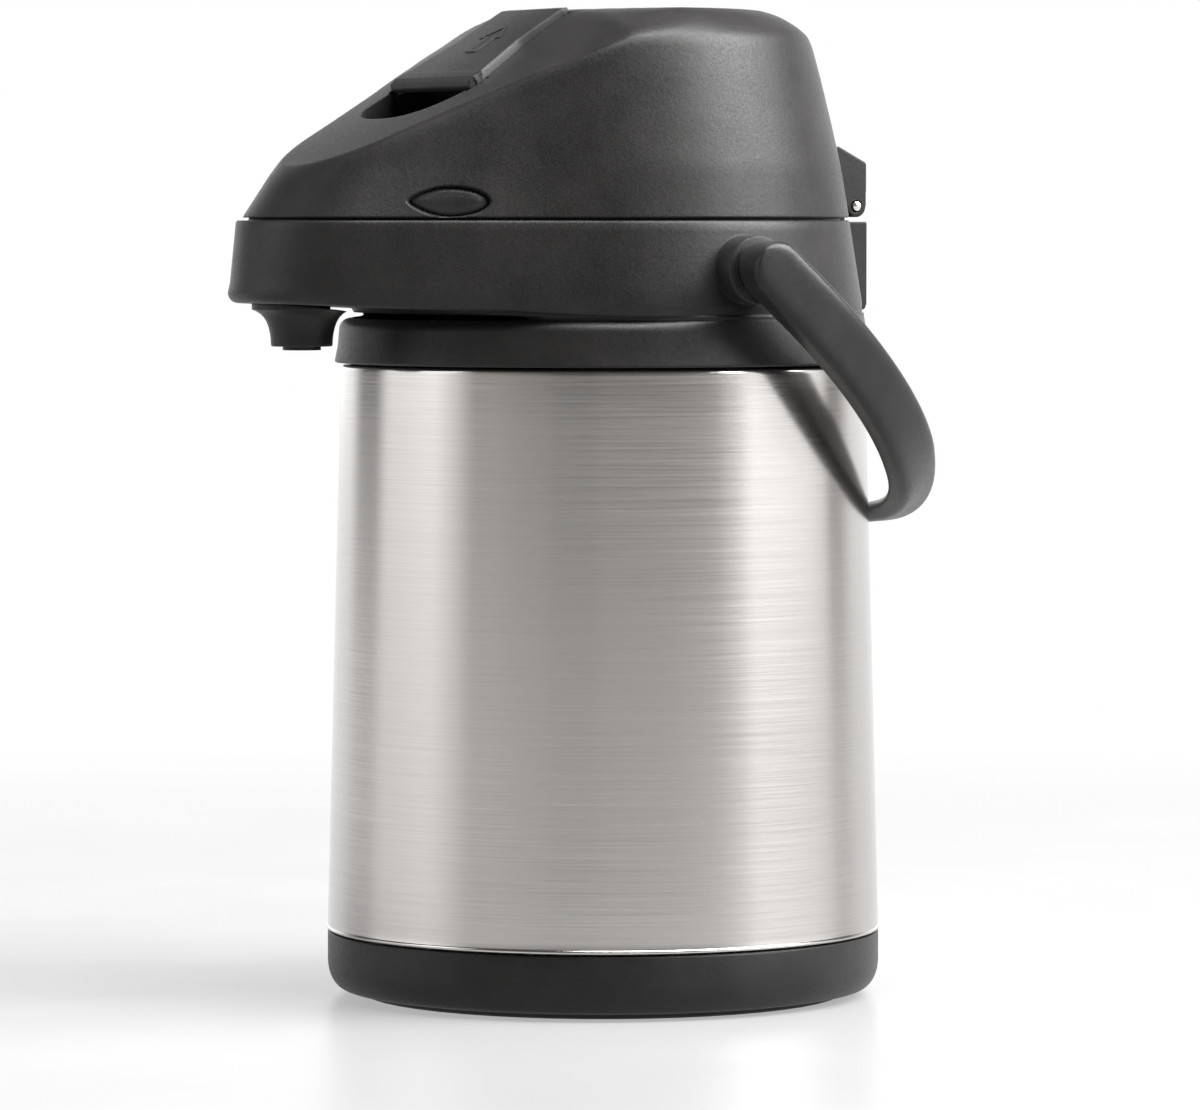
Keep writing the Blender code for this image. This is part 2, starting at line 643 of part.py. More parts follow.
def build_pump():
    at = (0.0, PUMP_Y)
    low, high = BELLOWS_Z
    folds = 5
    outer, inner = [], []
    for k in range(2 * folds + 1):
        z = low + (high - low) * k / (2 * folds)
        r = 28.6 if k % 2 else 23.4
        outer.append((r, z))
        inner.append((r - 1.3, z))
    revolve("bellows", outer + inner[::-1], at, 24)
    turns, per_turn, sides = 5, 10, 5
    rings = []
    for k in range(turns * per_turn + 1):
        a = 2 * math.pi * k / per_turn
        z = 228.0 + (281.5 - 228.0) * k / (turns * per_turn)
        out = Vector((math.cos(a), math.sin(a), 0))
        centre = Vector((0, PUMP_Y, z)) + out * 14.0
        angles = [2 * math.pi * s / sides for s in range(sides)]
        rings.append(
            [centre + out * (1.1 * math.cos(b)) + Vector((0, 0, 1.1 * math.sin(b))) for b in angles]
        )
    loft("bellows_spring", rings)
    cap = [(0, 284.4), (27.6, 284.4), (28.3, 285.0), (28.3, 286.0), (0, 286.0)]
    revolve("bellows_cap", cap, at, 40)
    plate = [(0, 286.4), (9.0, 286.4), (9.0, 290.4), (29.7, 290.4), (29.7, 284.4)]
    plate += [(PLATE_R, 284.4), (PLATE_R, 292.8), (31.3, 293.5), (28.6, 293.5)]
    revolve("push_plate", plate + [(26.6, 292.9), (0, 292.3)], at, 40)


def build_latch():
    lever = loft("latch_lever", lever_rings(0.0, 0.0, 4.2))
    lip = [(-58.4, 272.2), (-57.0, 273.1), (-54.0, 274.6), (-54.0, 271.2), (-56.9, 268.9)]
    join(lever, bar("lip", lip + [(-58.3, 269.7)], -24.2, 24.2))
    y, z = LEVER_PIVOT
    for side in (-1, 1):
        low, high = sorted((side * 11.2, side * 16.8))
        arm = [(-31.0, 287.0), (-31.0, 221.2), (-26.0, 221.2), (-26.0, 222.4)]
        join(lever, bar("arm", arm + [(-28.0, 223.6), (-28.0, 287.0)], low, high))
        ear = [(-29.0, 284.8), (-24.4, 284.8), (-22.9, 286.4), (-22.9, 291.6)]
        ear += [(-26.2, 290.4), (-29.0, 288.4)]
        join(lever, bar("ear", ear, low + 0.3, high - 0.3))
    cut(lever, rod("bore", (-30, y, z), (30, y, z), 1.5, 16))
    # room for the return spring
    cut(lever, rod("spring room", (-10.8, y, z), (10.8, y, z), 4.4, 16))
    rod("latch_pin", (-21.1, y, z), (21.1, y, z), 1.2, 12)
    rings, turns, per_turn = [], 5, 8
    for k in range(turns * per_turn + 1):
        a = 2 * math.pi * k / per_turn
        out = Vector((0, math.cos(a), math.sin(a)))
        centre = Vector((-6.0 + 12.0 * k / (turns * per_turn), y, z)) + out * 3.0
        angles = [2 * math.pi * s / 4 for s in range(4)]
        rings.append(
            [centre + out * (0.45 * math.cos(b)) + Vector((0.45 * math.sin(b), 0, 0)) for b in angles]
        )
    loft("latch_spring", rings)
    catch = box("latch_catch", (-18.0, -23.8, 220.3), (18.0, -20.4, 222.0))
    for side in (-1, 1):
        low, high = sorted((side * 10.6, side * 17.4))
        post = [(-23.6, 221.0), (-20.6, 221.0), (-20.6, 227.4), (-25.6, 227.4), (-25.6, 224.4)]
        join(catch, bar("post", post + [(-23.6, 223.2)], low, high))


def build_buttons():
    for side, name in ((1, "side_button_right"), (-1, "side_button_left")):
        layers = [(1.9, -5.4), (1.9, -4.2), (0.0, -4.2), (0.0, -1.5), (-1.0, -1.1)]
        lens_solid(name, side, layers)


# ---------------------------------------------------------------- handle


def handle_section(x, v, turn, half_wide, half_thick, roll):
    """One chamfered ring across the handle. turn points out of the loop, roll tips it level."""
    down = Vector((0, math.cos(HANDLE_DOWN), -math.sin(HANDLE_DOWN)))
    normal = Vector((0, math.sin(HANDLE_DOWN), math.cos(HANDLE_DOWN)))
    centre = Vector((x, PIVOT[0], PIVOT[1])) + down * v
    out = Vector((math.cos(turn), 0, 0)) + down * math.sin(turn)
    wide = normal * math.cos(roll) + out * math.sin(roll)
    thick = out * math.cos(roll) - normal * math.sin(roll)
    c = min(2.0, half_wide * 0.45, half_thick * 0.6)
    w, t = half_wide, half_thick
    corners = [(w - c, t), (w, t - c), (w, c - t), (w - c, -t)]
    corners += [(-a, b) for a, b in corners[::-1]]
    return [centre + wide * a + thick * b for a, b in corners]


def build_handle():
    start_half = 6.2
    side_x = HANDLE_HALF - start_half
    rings = []
    for a in np.linspace(0.16, math.pi / 2, 7):
        v = -8.5 * math.cos(a)
        rings.append(handle_section(side_x, v, 0.0, 8.5 * math.sin(a), start_half, 0.0))
    for t in np.linspace(0.0, math.pi / 2, 15):
        share = t / (math.pi / 2)
        half = start_half - 3.4 * share**0.8
        outer_x = HANDLE_HALF * math.cos(t) ** 0.96 if t < math.pi / 2 - 1e-6 else 0.0
        outer_v = HANDLE_STRAIGHT + (HANDLE_REACH - HANDLE_STRAIGHT) * math.sin(t)
        turn = math.atan2(HANDLE_HALF * math.sin(t), (HANDLE_REACH - HANDLE_STRAIGHT) * math.cos(t))
        x = outer_x - half * math.cos(turn)
        v = outer_v - half * math.sin(turn)
        wide = 8.5 - 1.6 * max(0.0, share - 0.5) * 2
        roll = math.radians(46.0) * min(1.0, max(0.0, (share - 0.55) / 0.4)) ** 1.2
        rings.append(handle_section(x, v, turn, wide, half, roll))
    mirrored = [[(-p[0], p[1], p[2]) for p in ring] for ring in rings[-2::-1]]
    handle = loft("bail_handle", rings + mirrored)
    for side in (-1, 1):
        y, z = PIVOT
        cut(handle, rod("bore", (side * 80.0, y, z), (side * 93.4, y, z), 4.3, 20))
        name = "right" if side > 0 else "left"
        pin = rod(f"pivot_pin_{name}", (side * 70.0, y, z), (side * 92.8, y, z), 4.0, 20)
        join(pin, rod("head", (side * 67.8, y, z), (side * 70.4, y, z), 6.4, 20))
        washer = rod(f"pivot_washer_{name}", (side * 83.8, y, z), (side * 84.3, y, z), 8.0, 24)
        cut(washer, rod("hole", (side * 80.0, y, z), (side * 90.0, y, z), 4.4))
    y, z = HINGE
    rod("hinge_pin", (-20.6, y, z), (20.6, y, z), 1.5, 24)


# ---------------------------------------------------------------- assembly


def make_finish(name):
    colour, roughness, metallic = FINISHES[name]
    material = bpy.data.materials.new(name)
    material.use_nodes = True
    shader = material.node_tree.nodes["Principled BSDF"]
    shader.inputs["Base Color"].default_value = (*colour, 1.0)
    shader.inputs["Roughness"].default_value = roughness
    shader.inputs["Metallic"].default_value = metallic
    return material


def assemble():
    """Shades every piece, gives it its finish and parents it to its body's empty."""
    empties = {}
    for body, at in BODIES.items():
        empties[body] = bpy.data.objects.new(f"{body}_joint", None)
        empties[body].location = Vector(at) * MM
        bpy.context.scene.collection.objects.link(empties[body])
    finishes = {name: make_finish(name) for name in FINISHES}
    for name, (body, finish) in PIECES.items():
        obj = bpy.data.objects[name]
        obj.data.transform(Matrix.Translation(-empties[body].location))
        obj.parent = empties[body]
        obj.data.materials.clear()
        obj.data.materials.append(finishes[finish])
        obj.data.shade_smooth()
        obj.data.set_sharp_from_angle(angle=math.radians(28.0))


def main():
    for obj in list(bpy.data.objects):
        bpy.data.objects.remove(obj)
    build_base()
    build_vacuum_body()
    build_housing()
    build_neck()
    build_outlet()
    build_lid_cover()
    build_lid_inside()
    build_pump()
    build_latch()
    build_buttons()
    build_handle()
    assemble()


main()
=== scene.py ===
"""Looks of the thermal airpot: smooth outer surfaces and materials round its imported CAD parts.

The frame is in metres, +Z up, front (spout) towards -Y. Sizes below are in millimetres.
"""

import json
import math

import bmesh
import bpy
import numpy as np
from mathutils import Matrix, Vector


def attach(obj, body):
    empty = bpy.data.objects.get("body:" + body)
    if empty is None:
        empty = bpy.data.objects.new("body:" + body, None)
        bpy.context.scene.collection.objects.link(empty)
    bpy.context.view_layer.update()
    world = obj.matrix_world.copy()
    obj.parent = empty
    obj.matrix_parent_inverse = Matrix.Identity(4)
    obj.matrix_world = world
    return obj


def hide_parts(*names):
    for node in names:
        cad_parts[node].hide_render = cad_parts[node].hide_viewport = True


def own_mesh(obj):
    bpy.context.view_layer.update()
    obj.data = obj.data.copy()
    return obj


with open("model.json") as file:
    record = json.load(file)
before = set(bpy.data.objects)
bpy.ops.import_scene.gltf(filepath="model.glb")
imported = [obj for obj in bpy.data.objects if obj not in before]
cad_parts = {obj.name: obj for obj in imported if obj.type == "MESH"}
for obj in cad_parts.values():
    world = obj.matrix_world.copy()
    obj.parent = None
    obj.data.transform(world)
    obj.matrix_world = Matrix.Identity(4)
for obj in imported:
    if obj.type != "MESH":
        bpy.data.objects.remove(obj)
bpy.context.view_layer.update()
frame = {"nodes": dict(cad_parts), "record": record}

MM = 0.001
ROUND_STEPS = 192
ON_AXIS = 1e-6
SHARP_ANGLE = 32.0
HANDLE_SHARP_ANGLE = 40.0
SOFT_SHARP_ANGLE = 60.0

BODY_BOTTOM_R = 82.5
BODY_TOP_R = 78.2
COLLAR_Z = 189.0
COLLAR_R = 80.1
PARTING_Z = 231.3
TOP_Z = 293.6
CONE_SLOPE = (COLLAR_R - 73.5) / (PARTING_Z - COLLAR_Z)

# Head plan: (z, rear radius, nose centre forward of the axis, nose radius)
HOUSING_PLAN = [(206.6, 77.3, 82.2, 38.0), (PARTING_Z, 73.5, 80.6, 37.0)]
LID_PLAN = [
    (232.1, 73.4, 79.1, 36.5),
    (247.0, 71.0, 71.2, 34.0),
    (260.0, 68.1, 67.0, 31.5),
    (274.5, 64.6, 61.0, 28.0),
    (284.0, 62.0, 57.0, 25.5),
    (287.2, 60.2, 55.0, 24.0),
    (296.0, 46.0, 41.0, 10.0),
]
FACET_Y = [-130.0, -112.0, -101.7, -89.0, -75.0, -57.0, -39.4, -25.9, -21.0, 100.0]
FACET_Z = [235.0, 243.5, 248.1, 254.5, 261.6, 271.0, 281.8, 291.0, 294.2, 330.0]
CROWN_Y = [-112.0, -57.0, -26.0]
CROWN = [0.0008, 0.0013, 0.0025]

HOUSING_WALL = 2.6
LID_WALL = 2.4
FLOOR_TOP = 209.5
NOSE_RISE = 0.041
NOSE_FILLET = 3.0
GROOVE_R = 78.2
GROOVE_SHIFT = 4.5

PUMP_Y = 14.0
PLATE_R = 32.0
BELLOWS_Z = (225.4, 284.0)
PANEL_SLOPE = math.radians(32.0)
ARROW_AT = 21.0
ARROW_LINE = 0.8
SPOUT_Y = -100.5
HINGE = (76.2, 235.5)
HINGE_HALF = 20.0
KNUCKLE_R = 3.3
HINGE_BORE_R = 1.9
PIVOT = (5.4, 217.0)
PIVOT_BORE_R = 4.3
BOSS_R = 10.0
LEVER_PIVOT = (-25.4, 287.8)
LEVER_TOP = [
    (-57.0, 273.2, 25.0),
    (-48.0, 278.8, 22.0),
    (-39.6, 284.1, 19.0),
    (-26.4, 292.4, 19.0),
    (-24.4, 293.6, 19.0),
    (-22.4, 293.9, 19.0),
]
HANDLE_DOWN = math.radians(41.8)
HANDLE_HALF = 97.0
HANDLE_STRAIGHT = 12.0
HANDLE_REACH = 114.8
ARM_HALF_THICK = 6.2
ARM_HALF_WIDE = 8.5
GRIP_ROLL = math.radians(46.0)

BUTTON = Vector((42.1, -74.0, 237.0))
BUTTON_OUT = Vector((0.865, -0.476, 0.16)).normalized()
BUTTON_ALONG = Vector((0.4824, 0.8763, 0.0))


# ---------------------------------------------------------------- geometry


def make(name, points, faces):
    """One closed mesh object from points in millimetres."""
    work = bmesh.new()
    verts = [work.verts.new([round(c, 4) * MM for c in p]) for p in points]
    for face in faces:
        work.faces.new([verts[i] for i in face])
    bmesh.ops.recalc_face_normals(work, faces=work.faces)
    if work.calc_volume(signed=True) < 0:
        bmesh.ops.reverse_faces(work, faces=work.faces)
    mesh = bpy.data.meshes.new(name)
    work.to_mesh(mesh)
    work.free()
    obj = bpy.data.objects.new(name, mesh)
    bpy.context.scene.collection.objects.link(obj)
    return obj


def loft(name, rings):
    """Skin over rings of equally many points, capped at both ends."""
    rings = [np.asarray(ring, float) for ring in rings]
    count, size = len(rings), len(rings[0])
    faces = []
    for i in range(count - 1):
        a, b = i * size, (i + 1) * size
        for j in range(size):
            k = (j + 1) % size
            faces.append((a + j, a + k, b + k, b + j))
    faces.append(tuple(range(size)))
    faces.append(tuple(range((count - 1) * size, count * size)))
    return make(name, np.concatenate(rings), faces)


def revolve(name, profile, at=(0.0, 0.0), steps=ROUND_STEPS):
    """Turn a closed run of (r, z) points round a vertical axis."""
    points, rows = [], []
    for r, z in profile:
        if r < ON_AXIS:
            rows.append([len(points)] * steps)
            points.append((at[0], at[1], z))
            continue
        rows.append(list(range(len(points), len(points) + steps)))
        for k in range(steps):
            a = 2 * math.pi * (k + 0.5) / steps
            points.append((at[0] + r * math.cos(a), at[1] + r * math.sin(a), z))
    faces = []
    for i in range(len(rows)):
        low, high = rows[i], rows[(i + 1) % len(rows)]
        for k in range(steps):
            n = (k + 1) % steps
            face = list(dict.fromkeys([low[k], low[n], high[n], high[k]]))
            if len(face) > 2:
                faces.append(face)
    return make(name, points, faces)


def arc(cx, cz, r, start, end, steps=6):
    """Points on a circle in a turned profile, angles in degrees."""
    angles = np.radians(np.linspace(start, end, steps))
    return [(cx + r * math.cos(a), cz + r * math.sin(a)) for a in angles]


def rod(name, start, end, radius, steps=48, edge=0.0):
    """Round bar between two points, its ends rounded by edge."""
    start, end = Vector(start), Vector(end)
    along = (end - start).normalized()
    side = along.orthogonal().normalized()
    up = along.cross(side)
    rings = []
    stations = [(0.0, radius - edge), (edge * 0.3, radius - edge * 0.3), (edge, radius)]
    length = (end - start).length
    stations += [(length - t, r) for t, r in stations[::-1]]
    if not edge:
        stations = [stations[0], stations[-1]]
    for t, r in stations:
        centre = start + along * t
        ring = []
        for k in range(steps):
            a = 2 * math.pi * (k + 0.5) / steps
            ring.append(centre + side * math.cos(a) * r + up * math.sin(a) * r)
        rings.append(ring)
    return loft(name, rings)


def box(name, low, high):
    (x0, y0, z0), (x1, y1, z1) = low, high
    ring = [(x0, y0), (x1, y0), (x1, y1), (x0, y1)]
    return loft(name, [[(x, y, z) for x, y in ring] for z in (z0, z1)])


def bar(name, outline, x0, x1):
    """Side-view outline of (y, z) points, extruded across from x0 to x1."""
    return loft(name, [[(x, y, z) for y, z in outline] for x in (x0, x1)])


def combine(target, other, operation):
    """Boolean of two shapes; the second one is used up."""
    modifier = target.modifiers.new("combine", "BOOLEAN")
    modifier.operation = operation
    modifier.solver = "EXACT"
    modifier.object = other
    graph = bpy.context.evaluated_depsgraph_get()
    mesh = bpy.data.meshes.new_from_object(target.evaluated_get(graph))
    target.modifiers.clear()
    target.data = mesh
    bpy.data.objects.remove(other)
    return target


def cut(target, *others):
    for other in others:
        combine(target, other, "DIFFERENCE")
    return target


def join(target, *others):
    for other in others:
        combine(target, other, "UNION")
    return target


def gather(target, *others):
    """Puts several closed shapes into one object without merging them."""
    work = bmesh.new()
    for obj in (target, *others):
        work.from_mesh(obj.data)
    work.to_mesh(target.data)
    work.free()
    for other in others:
        bpy.data.objects.remove(other)
    return target


def finish_piece(obj, body, slot, replaced=None, sharp=SHARP_ANGLE):
    """Shades a piece, gives it its slot's material and fixes it to its body."""
    obj.data.shade_smooth()
    obj.data.set_sharp_from_angle(angle=math.radians(sharp))
    obj.data.materials.clear()
    obj.data.materials.append(SLOT_MATERIAL[slot])
    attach(obj, body)
    if replaced:
        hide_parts(replaced)


def plan(rear, nose_y, nose_r, inset=0.0, rear_steps=150, nose_steps=56, flank=18):
    """Head outline from above: a round rear and a smaller round nose, joined by tangents."""
    rear, nose_r = rear - inset, nose_r - inset
    beta = math.asin((rear - nose_r) / nose_y)
    points = []
    for a in np.linspace(-beta, math.pi + beta, rear_steps):
        points.append((rear * math.cos(a), rear * math.sin(a)))
    nose = []
    for a in np.linspace(math.pi + beta, 2 * math.pi - beta, nose_steps):
        nose.append((nose_r * math.cos(a), -nose_y + nose_r * math.sin(a)))
    for start, end, tail in ((points[-1], nose[0], nose), (nose[-1], points[0], [])):
        for k in range(1, flank):
            t = k / flank
            x = start[0] + (end[0] - start[0]) * t
            points.append((x, start[1] + (end[1] - start[1]) * t))
        points.extend(tail)
    return np.array(points)


def section(sections, z, blur=0.0):
    """Plan sizes at a height, with the corners between sections eased over blur."""
    table = np.array(sections)
    heights = z + blur * np.linspace(-1.0, 1.0, 9 if blur else 1)
    return [float(np.interp(heights, table[:, 0], table[:, c]).mean()) for c in (1, 2, 3)]


def cone_radius(z):
    return COLLAR_R - CONE_SLOPE * (z - COLLAR_Z)


def facet_height(x, y):
    return np.interp(y, FACET_Y, FACET_Z) - np.interp(y, CROWN_Y, CROWN) * x * x


def smooth_min(a, b, width):
    h = np.maximum(width - np.abs(a - b), 0.0) / width
    return np.minimum(a, b) - h * h * width / 4


# ---------------------------------------------------------------- materials


class Nodes:
    """Short forms for building one material's node tree."""

    def __init__(self, name, colour, roughness, metallic=0.0):
        self.material = bpy.data.materials.new(name)
        self.material.use_nodes = True
        self.tree = self.material.node_tree
        self.shader = self.tree.nodes["Principled BSDF"]
        self.set(self.shader, "Base Color", (*colour, 1.0))
        self.set(self.shader, "Roughness", roughness)
        self.set(self.shader, "Metallic", metallic)
        self.place = self.add("ShaderNodeTexCoord").outputs["Object"]

    def set(self, node, socket, value):
        if isinstance(value, bpy.types.NodeSocket):
            self.tree.links.new(value, node.inputs[socket])
        else:
            node.inputs[socket].default_value = value

    def add(self, kind):
        return self.tree.nodes.new(kind)

    def scaled(self, x, y, z):
        node = self.add("ShaderNodeMapping")
        self.set(node, "Vector", self.place)
        self.set(node, "Scale", (x, y, z))
        return node.outputs["Vector"]

    def noise(self, scale, detail=3.0, roughness=0.55, vector=None):
        """Noise over the object, or over vector where the object is stretched."""
        node = self.add("ShaderNodeTexNoise")
        self.set(node, "Vector", vector or self.place)
        self.set(node, "Scale", scale)
        self.set(node, "Detail", detail)
        self.set(node, "Roughness", roughness)
        return node.outputs["Fac"]

    def spread(self, value, low, high, start=0.3, end=0.7):
        """Maps start to end, by default the middle of a noise, to the range low to high."""
        node = self.add("ShaderNodeMapRange")
        self.set(node, "Value", value)
        self.set(node, "From Min", start)
        self.set(node, "From Max", end)
        self.set(node, "To Min", low)
        self.set(node, "To Max", high)
        return node.outputs["Result"]

    def blend(self, factor, first, second):
        node = self.add("ShaderNodeMix")
        node.data_type = "RGBA"
        self.tree.links.new(factor, node.inputs["Factor"])
        node.inputs[6].default_value = (*first, 1.0)
        node.inputs[7].default_value = (*second, 1.0)
        return node.outputs[2]

    def relief(self, height, depth, normal=None):
        node = self.add("ShaderNodeBump")
        self.set(node, "Height", height)
        self.set(node, "Strength", 1.0)
        self.set(node, "Distance", depth)
        if normal is not None:
            self.set(node, "Normal", normal)
        return node.outputs["Normal"]

    def soft_edges(self, radius):
        node = self.add("ShaderNodeBevel")
        node.samples = 4
        self.set(node, "Radius", radius)
        return node.outputs["Normal"]


def textured_plastic(name, colour, roughness, grain, edge=0.0008):
    """Moulded plastic with a fine spark-eroded grain and faint wear."""
    n = Nodes(name, colour, roughness)
    lighter = tuple(c * 1.7 + 0.004 for c in colour)
    cloud = n.noise(55.0, 4.0)
    n.set(n.shader, "Base Color", n.blend(n.spread(cloud, 0.0, 1.0), colour, lighter))
    grit = n.noise(1500.0, 2.0, 0.6)
    coarse = n.noise(520.0, 2.0, 0.6)
    n.set(n.shader, "Roughness", n.spread(grit, roughness - 0.07, roughness + 0.09))
    normal = n.relief(coarse, grain * 1.4, n.soft_edges(edge))
    n.set(n.shader, "Normal", n.relief(grit, grain, normal))
    n.set(n.shader, "Specular IOR Level", 0.28)
    n.set(n.shader, "Sheen Weight", 0.03)
    n.set(n.shader, "Sheen Roughness", 0.45)
    return n.material


def brushed_steel(name, colour, roughness, lines, depth):
    """Steel with fine rings of brushing round the vertical axis."""
    n = Nodes(name, colour, roughness, 1.0)
    fine = n.noise(1.0, 3.0, 0.7, n.scaled(18.0, 18.0, lines))
    broad = n.noise(1.0, 3.0, 0.6, n.scaled(16.0, 16.0, lines / 2))
    darker = tuple(c * 0.93 for c in colour)
    n.set(n.shader, "Base Color", n.blend(n.spread(broad, 0.0, 1.0), darker, colour))
    n.set(n.shader, "Roughness", n.spread(fine, roughness - 0.06, roughness + 0.08))
    n.set(n.shader, "Normal", n.relief(fine, depth))
    n.set(n.shader, "Anisotropic", 0.7)
    n.set(n.shader, "Anisotropic Rotation", 0.25)
    tangent = n.add("ShaderNodeTangent")
    tangent.direction_type = "RADIAL"
    tangent.axis = "Z"
    n.set(n.shader, "Tangent", tangent.outputs["Tangent"])
    return n.material


def plain_metal(name, colour, roughness):
    n = Nodes(name, colour, roughness, 1.0)
    smear = n.noise(220.0, 3.0)
    n.set(n.shader, "Roughness", n.spread(smear, roughness - 0.05, roughness + 0.08))
    n.set(n.shader, "Normal", n.relief(n.noise(900.0), 0.00001, n.soft_edges(0.0003)))
    return n.material


def rubber(name, colour, roughness):
    n = Nodes(name, colour, roughness)
    dust = n.noise(160.0, 4.0)
    lighter = tuple(c * 1.25 + 0.01 for c in colour)
    n.set(n.shader, "Base Color", n.blend(n.spread(dust, 0.0, 1.0), colour, lighter))
    n.set(n.shader, "Normal", n.relief(n.noise(1100.0), 0.00003))
    return n.material


FINISHES = {
    "black_plastic": (textured_plastic, (0.0060, 0.0054, 0.0052), 0.44, 0.000034),
    "handle_plastic": (textured_plastic, (0.0080, 0.0076, 0.0076), 0.36, 0.000012),
    "button_plastic": (textured_plastic, (0.012, 0.0115, 0.0115), 0.32, 0.000008),
    "pale_plastic": (textured_plastic, (0.70, 0.69, 0.65), 0.42, 0.00001),
    "brushed_body": (brushed_steel, (0.56, 0.54, 0.522), 0.19, 4200.0, 0.0000014),
    "liner_steel": (brushed_steel, (0.72, 0.72, 0.71), 0.22, 900.0, 0.000004),
    "screw_steel": (plain_metal, (0.60, 0.60, 0.60), 0.3),
    "pin_nickel": (plain_metal, (0.80, 0.78, 0.74), 0.14),
    "foot_rubber": (rubber, (0.022, 0.022, 0.022), 0.75),
    "seal_rubber": (rubber, (0.66, 0.65, 0.61), 0.5),
}
SLOT_MATERIAL = {slot: build(slot, *values) for slot, (build, *values) in FINISHES.items()}

# Small fittings that show outside the head and match it
OUTSIDE_BLACK = {"outlet_elbow", "pivot_washer_left", "pivot_washer_right"}


def dress_cad_nodes():
    for entry in frame["record"]["subparts"]:
        obj = frame["nodes"][entry["node"]]
        material = SLOT_MATERIAL[entry["material_slot"]]
        if entry["node"] in OUTSIDE_BLACK:
            material = SLOT_MATERIAL["black_plastic"]
        if not obj.material_slots:
            obj.data.materials.append(material)
        for slot in obj.material_slots:
            slot.material = material


# ---------------------------------------------------------------- body


def build_body():
    profile = [(81.7, 21.2), (81.7, 20.1)]
    profile += arc(82.25, 20.45, 0.62, -120.0, 70.0, 10)
    profile += [(82.42, 21.35)]
    for z in np.linspace(23.0, 186.6, 12):
        t = (z - 20.2) / (187.7 - 20.2)
        profile.append((BODY_BOTTOM_R + (BODY_TOP_R - BODY_BOTTOM_R) * t, z))
    profile += arc(77.2, 187.3, 1.0, 10.0, 90.0, 7)
    profile += [(75.4, 188.45), (72.0, 194.6), (60.0, 199.8), (50.0, 202.8)]
    profile += [(46.5, 206.4), (46.5, 213.6), (45.7, 213.6), (45.7, 206.0)]
    profile += [(49.6, 202.0), (59.7, 199.0), (71.2, 194.2), (74.5, 187.9), (77.0, 187.0)]
    shell = revolve("body_shell", profile)
    finish_piece(shell, "pot", "brushed_body", "outer_shell")

    profile = [(77.0, 2.0)]
    for a in np.radians(np.linspace(8.0, 90.0, 12)):
        profile.append((77.2 + 5.3 * math.sin(a), 10.6 - 8.6 * math.cos(a)))
    profile += arc(82.0, 18.8, 0.5, 0.0, 90.0, 5)
    profile += [(80.3, 19.3), (80.3, 7.6), (8.0, 7.6), (8.0, 14.0), (2.9, 14.0)]
    band = revolve("base_band", profile + [(2.9, 5.7), (76.6, 5.7)])
    finish_piece(band, "pot", "black_plastic", "base_ring")


def housing_rings():
    """Rings of the collar, the groove under the nose, and the nose and wall above it."""
    outline = plan(*HOUSING_PLAN[0][1:])
    length = np.hypot(outline[:, 0], outline[:, 1])
    ux, uy = outline[:, 0] / length, outline[:, 1] / length
    reach = GROOVE_SHIFT * uy + np.sqrt(GROOVE_R**2 - (GROOVE_SHIFT * ux) ** 2)
    wall = cone_radius(203.0)
    groove = np.minimum(wall, reach)
    front = np.clip((wall - groove) / 1.6, 0.0, 1.0)
    rings = []

    def ring(radius, z):
        z = np.broadcast_to(z, ux.shape)
        rings.append(np.stack([ux * radius, uy * radius, z], axis=1))

    for z, r in [(COLLAR_Z, -0.5), (COLLAR_Z + 0.15, -0.15), (COLLAR_Z + 0.5, 0.0)]:
        ring(np.full_like(ux, COLLAR_R + r), z)
    ring(cone_radius(194.0) - 0.1 * front, 194.0)
    # shoulder rolling into the groove, only where there is one
    for a in np.radians(np.linspace(0.0, 90.0, 9)):
        shoulder = 75.2 + 3.6 * math.cos(a)
        z = 198.9 + 3.4 * math.sin(a)
        ring(front * shoulder + (1 - front) * cone_radius(z), z)
    ring(np.minimum(groove + 0.15 * front, wall), 202.55)
    ring(groove, 202.9)
    ring(groove, 203.3)

    def rise(y):
        return NOSE_RISE * np.maximum(0.0, -y - 30.0)

    beyond = np.maximum(0.0, length - cone_radius(206.6))
    fillet = np.minimum(NOSE_FILLET, beyond * 0.6)
    under = 203.7
    for share in (0.06, 0.3, 0.6, 0.9):
        r = groove + (length - fillet - groove) * share
        ring(r, under + rise(uy * r))
    for a in np.radians(np.linspace(0.0, 90.0, 9)):
        r = length - fillet * (1 - math.sin(a))
        z = under + NOSE_FILLET * (1 - math.cos(a)) + rise(uy * r)
        ring(r, z)
    for z in np.linspace(213.0, PARTING_Z - 0.7, 8):
        points = plan(*section(HOUSING_PLAN, z))
        rings.append(np.column_stack([points, np.full(len(points), z)]))
    for inset, z in ((0.15, PARTING_Z - 0.25), (0.45, PARTING_Z)):
        points = plan(*HOUSING_PLAN[1][1:], inset)
        rings.append(np.column_stack([points, np.full(len(points), z)]))
    return rings


def plan_loft(name, sections, inset=0.0):
    rings = []
    for z, rear, nose_y, nose_r in sections:
        points = plan(rear, nose_y, nose_r, inset, 100, 40, 6)
        rings.append(np.column_stack([points, np.full(len(points), z)]))
    return loft(name, rings)


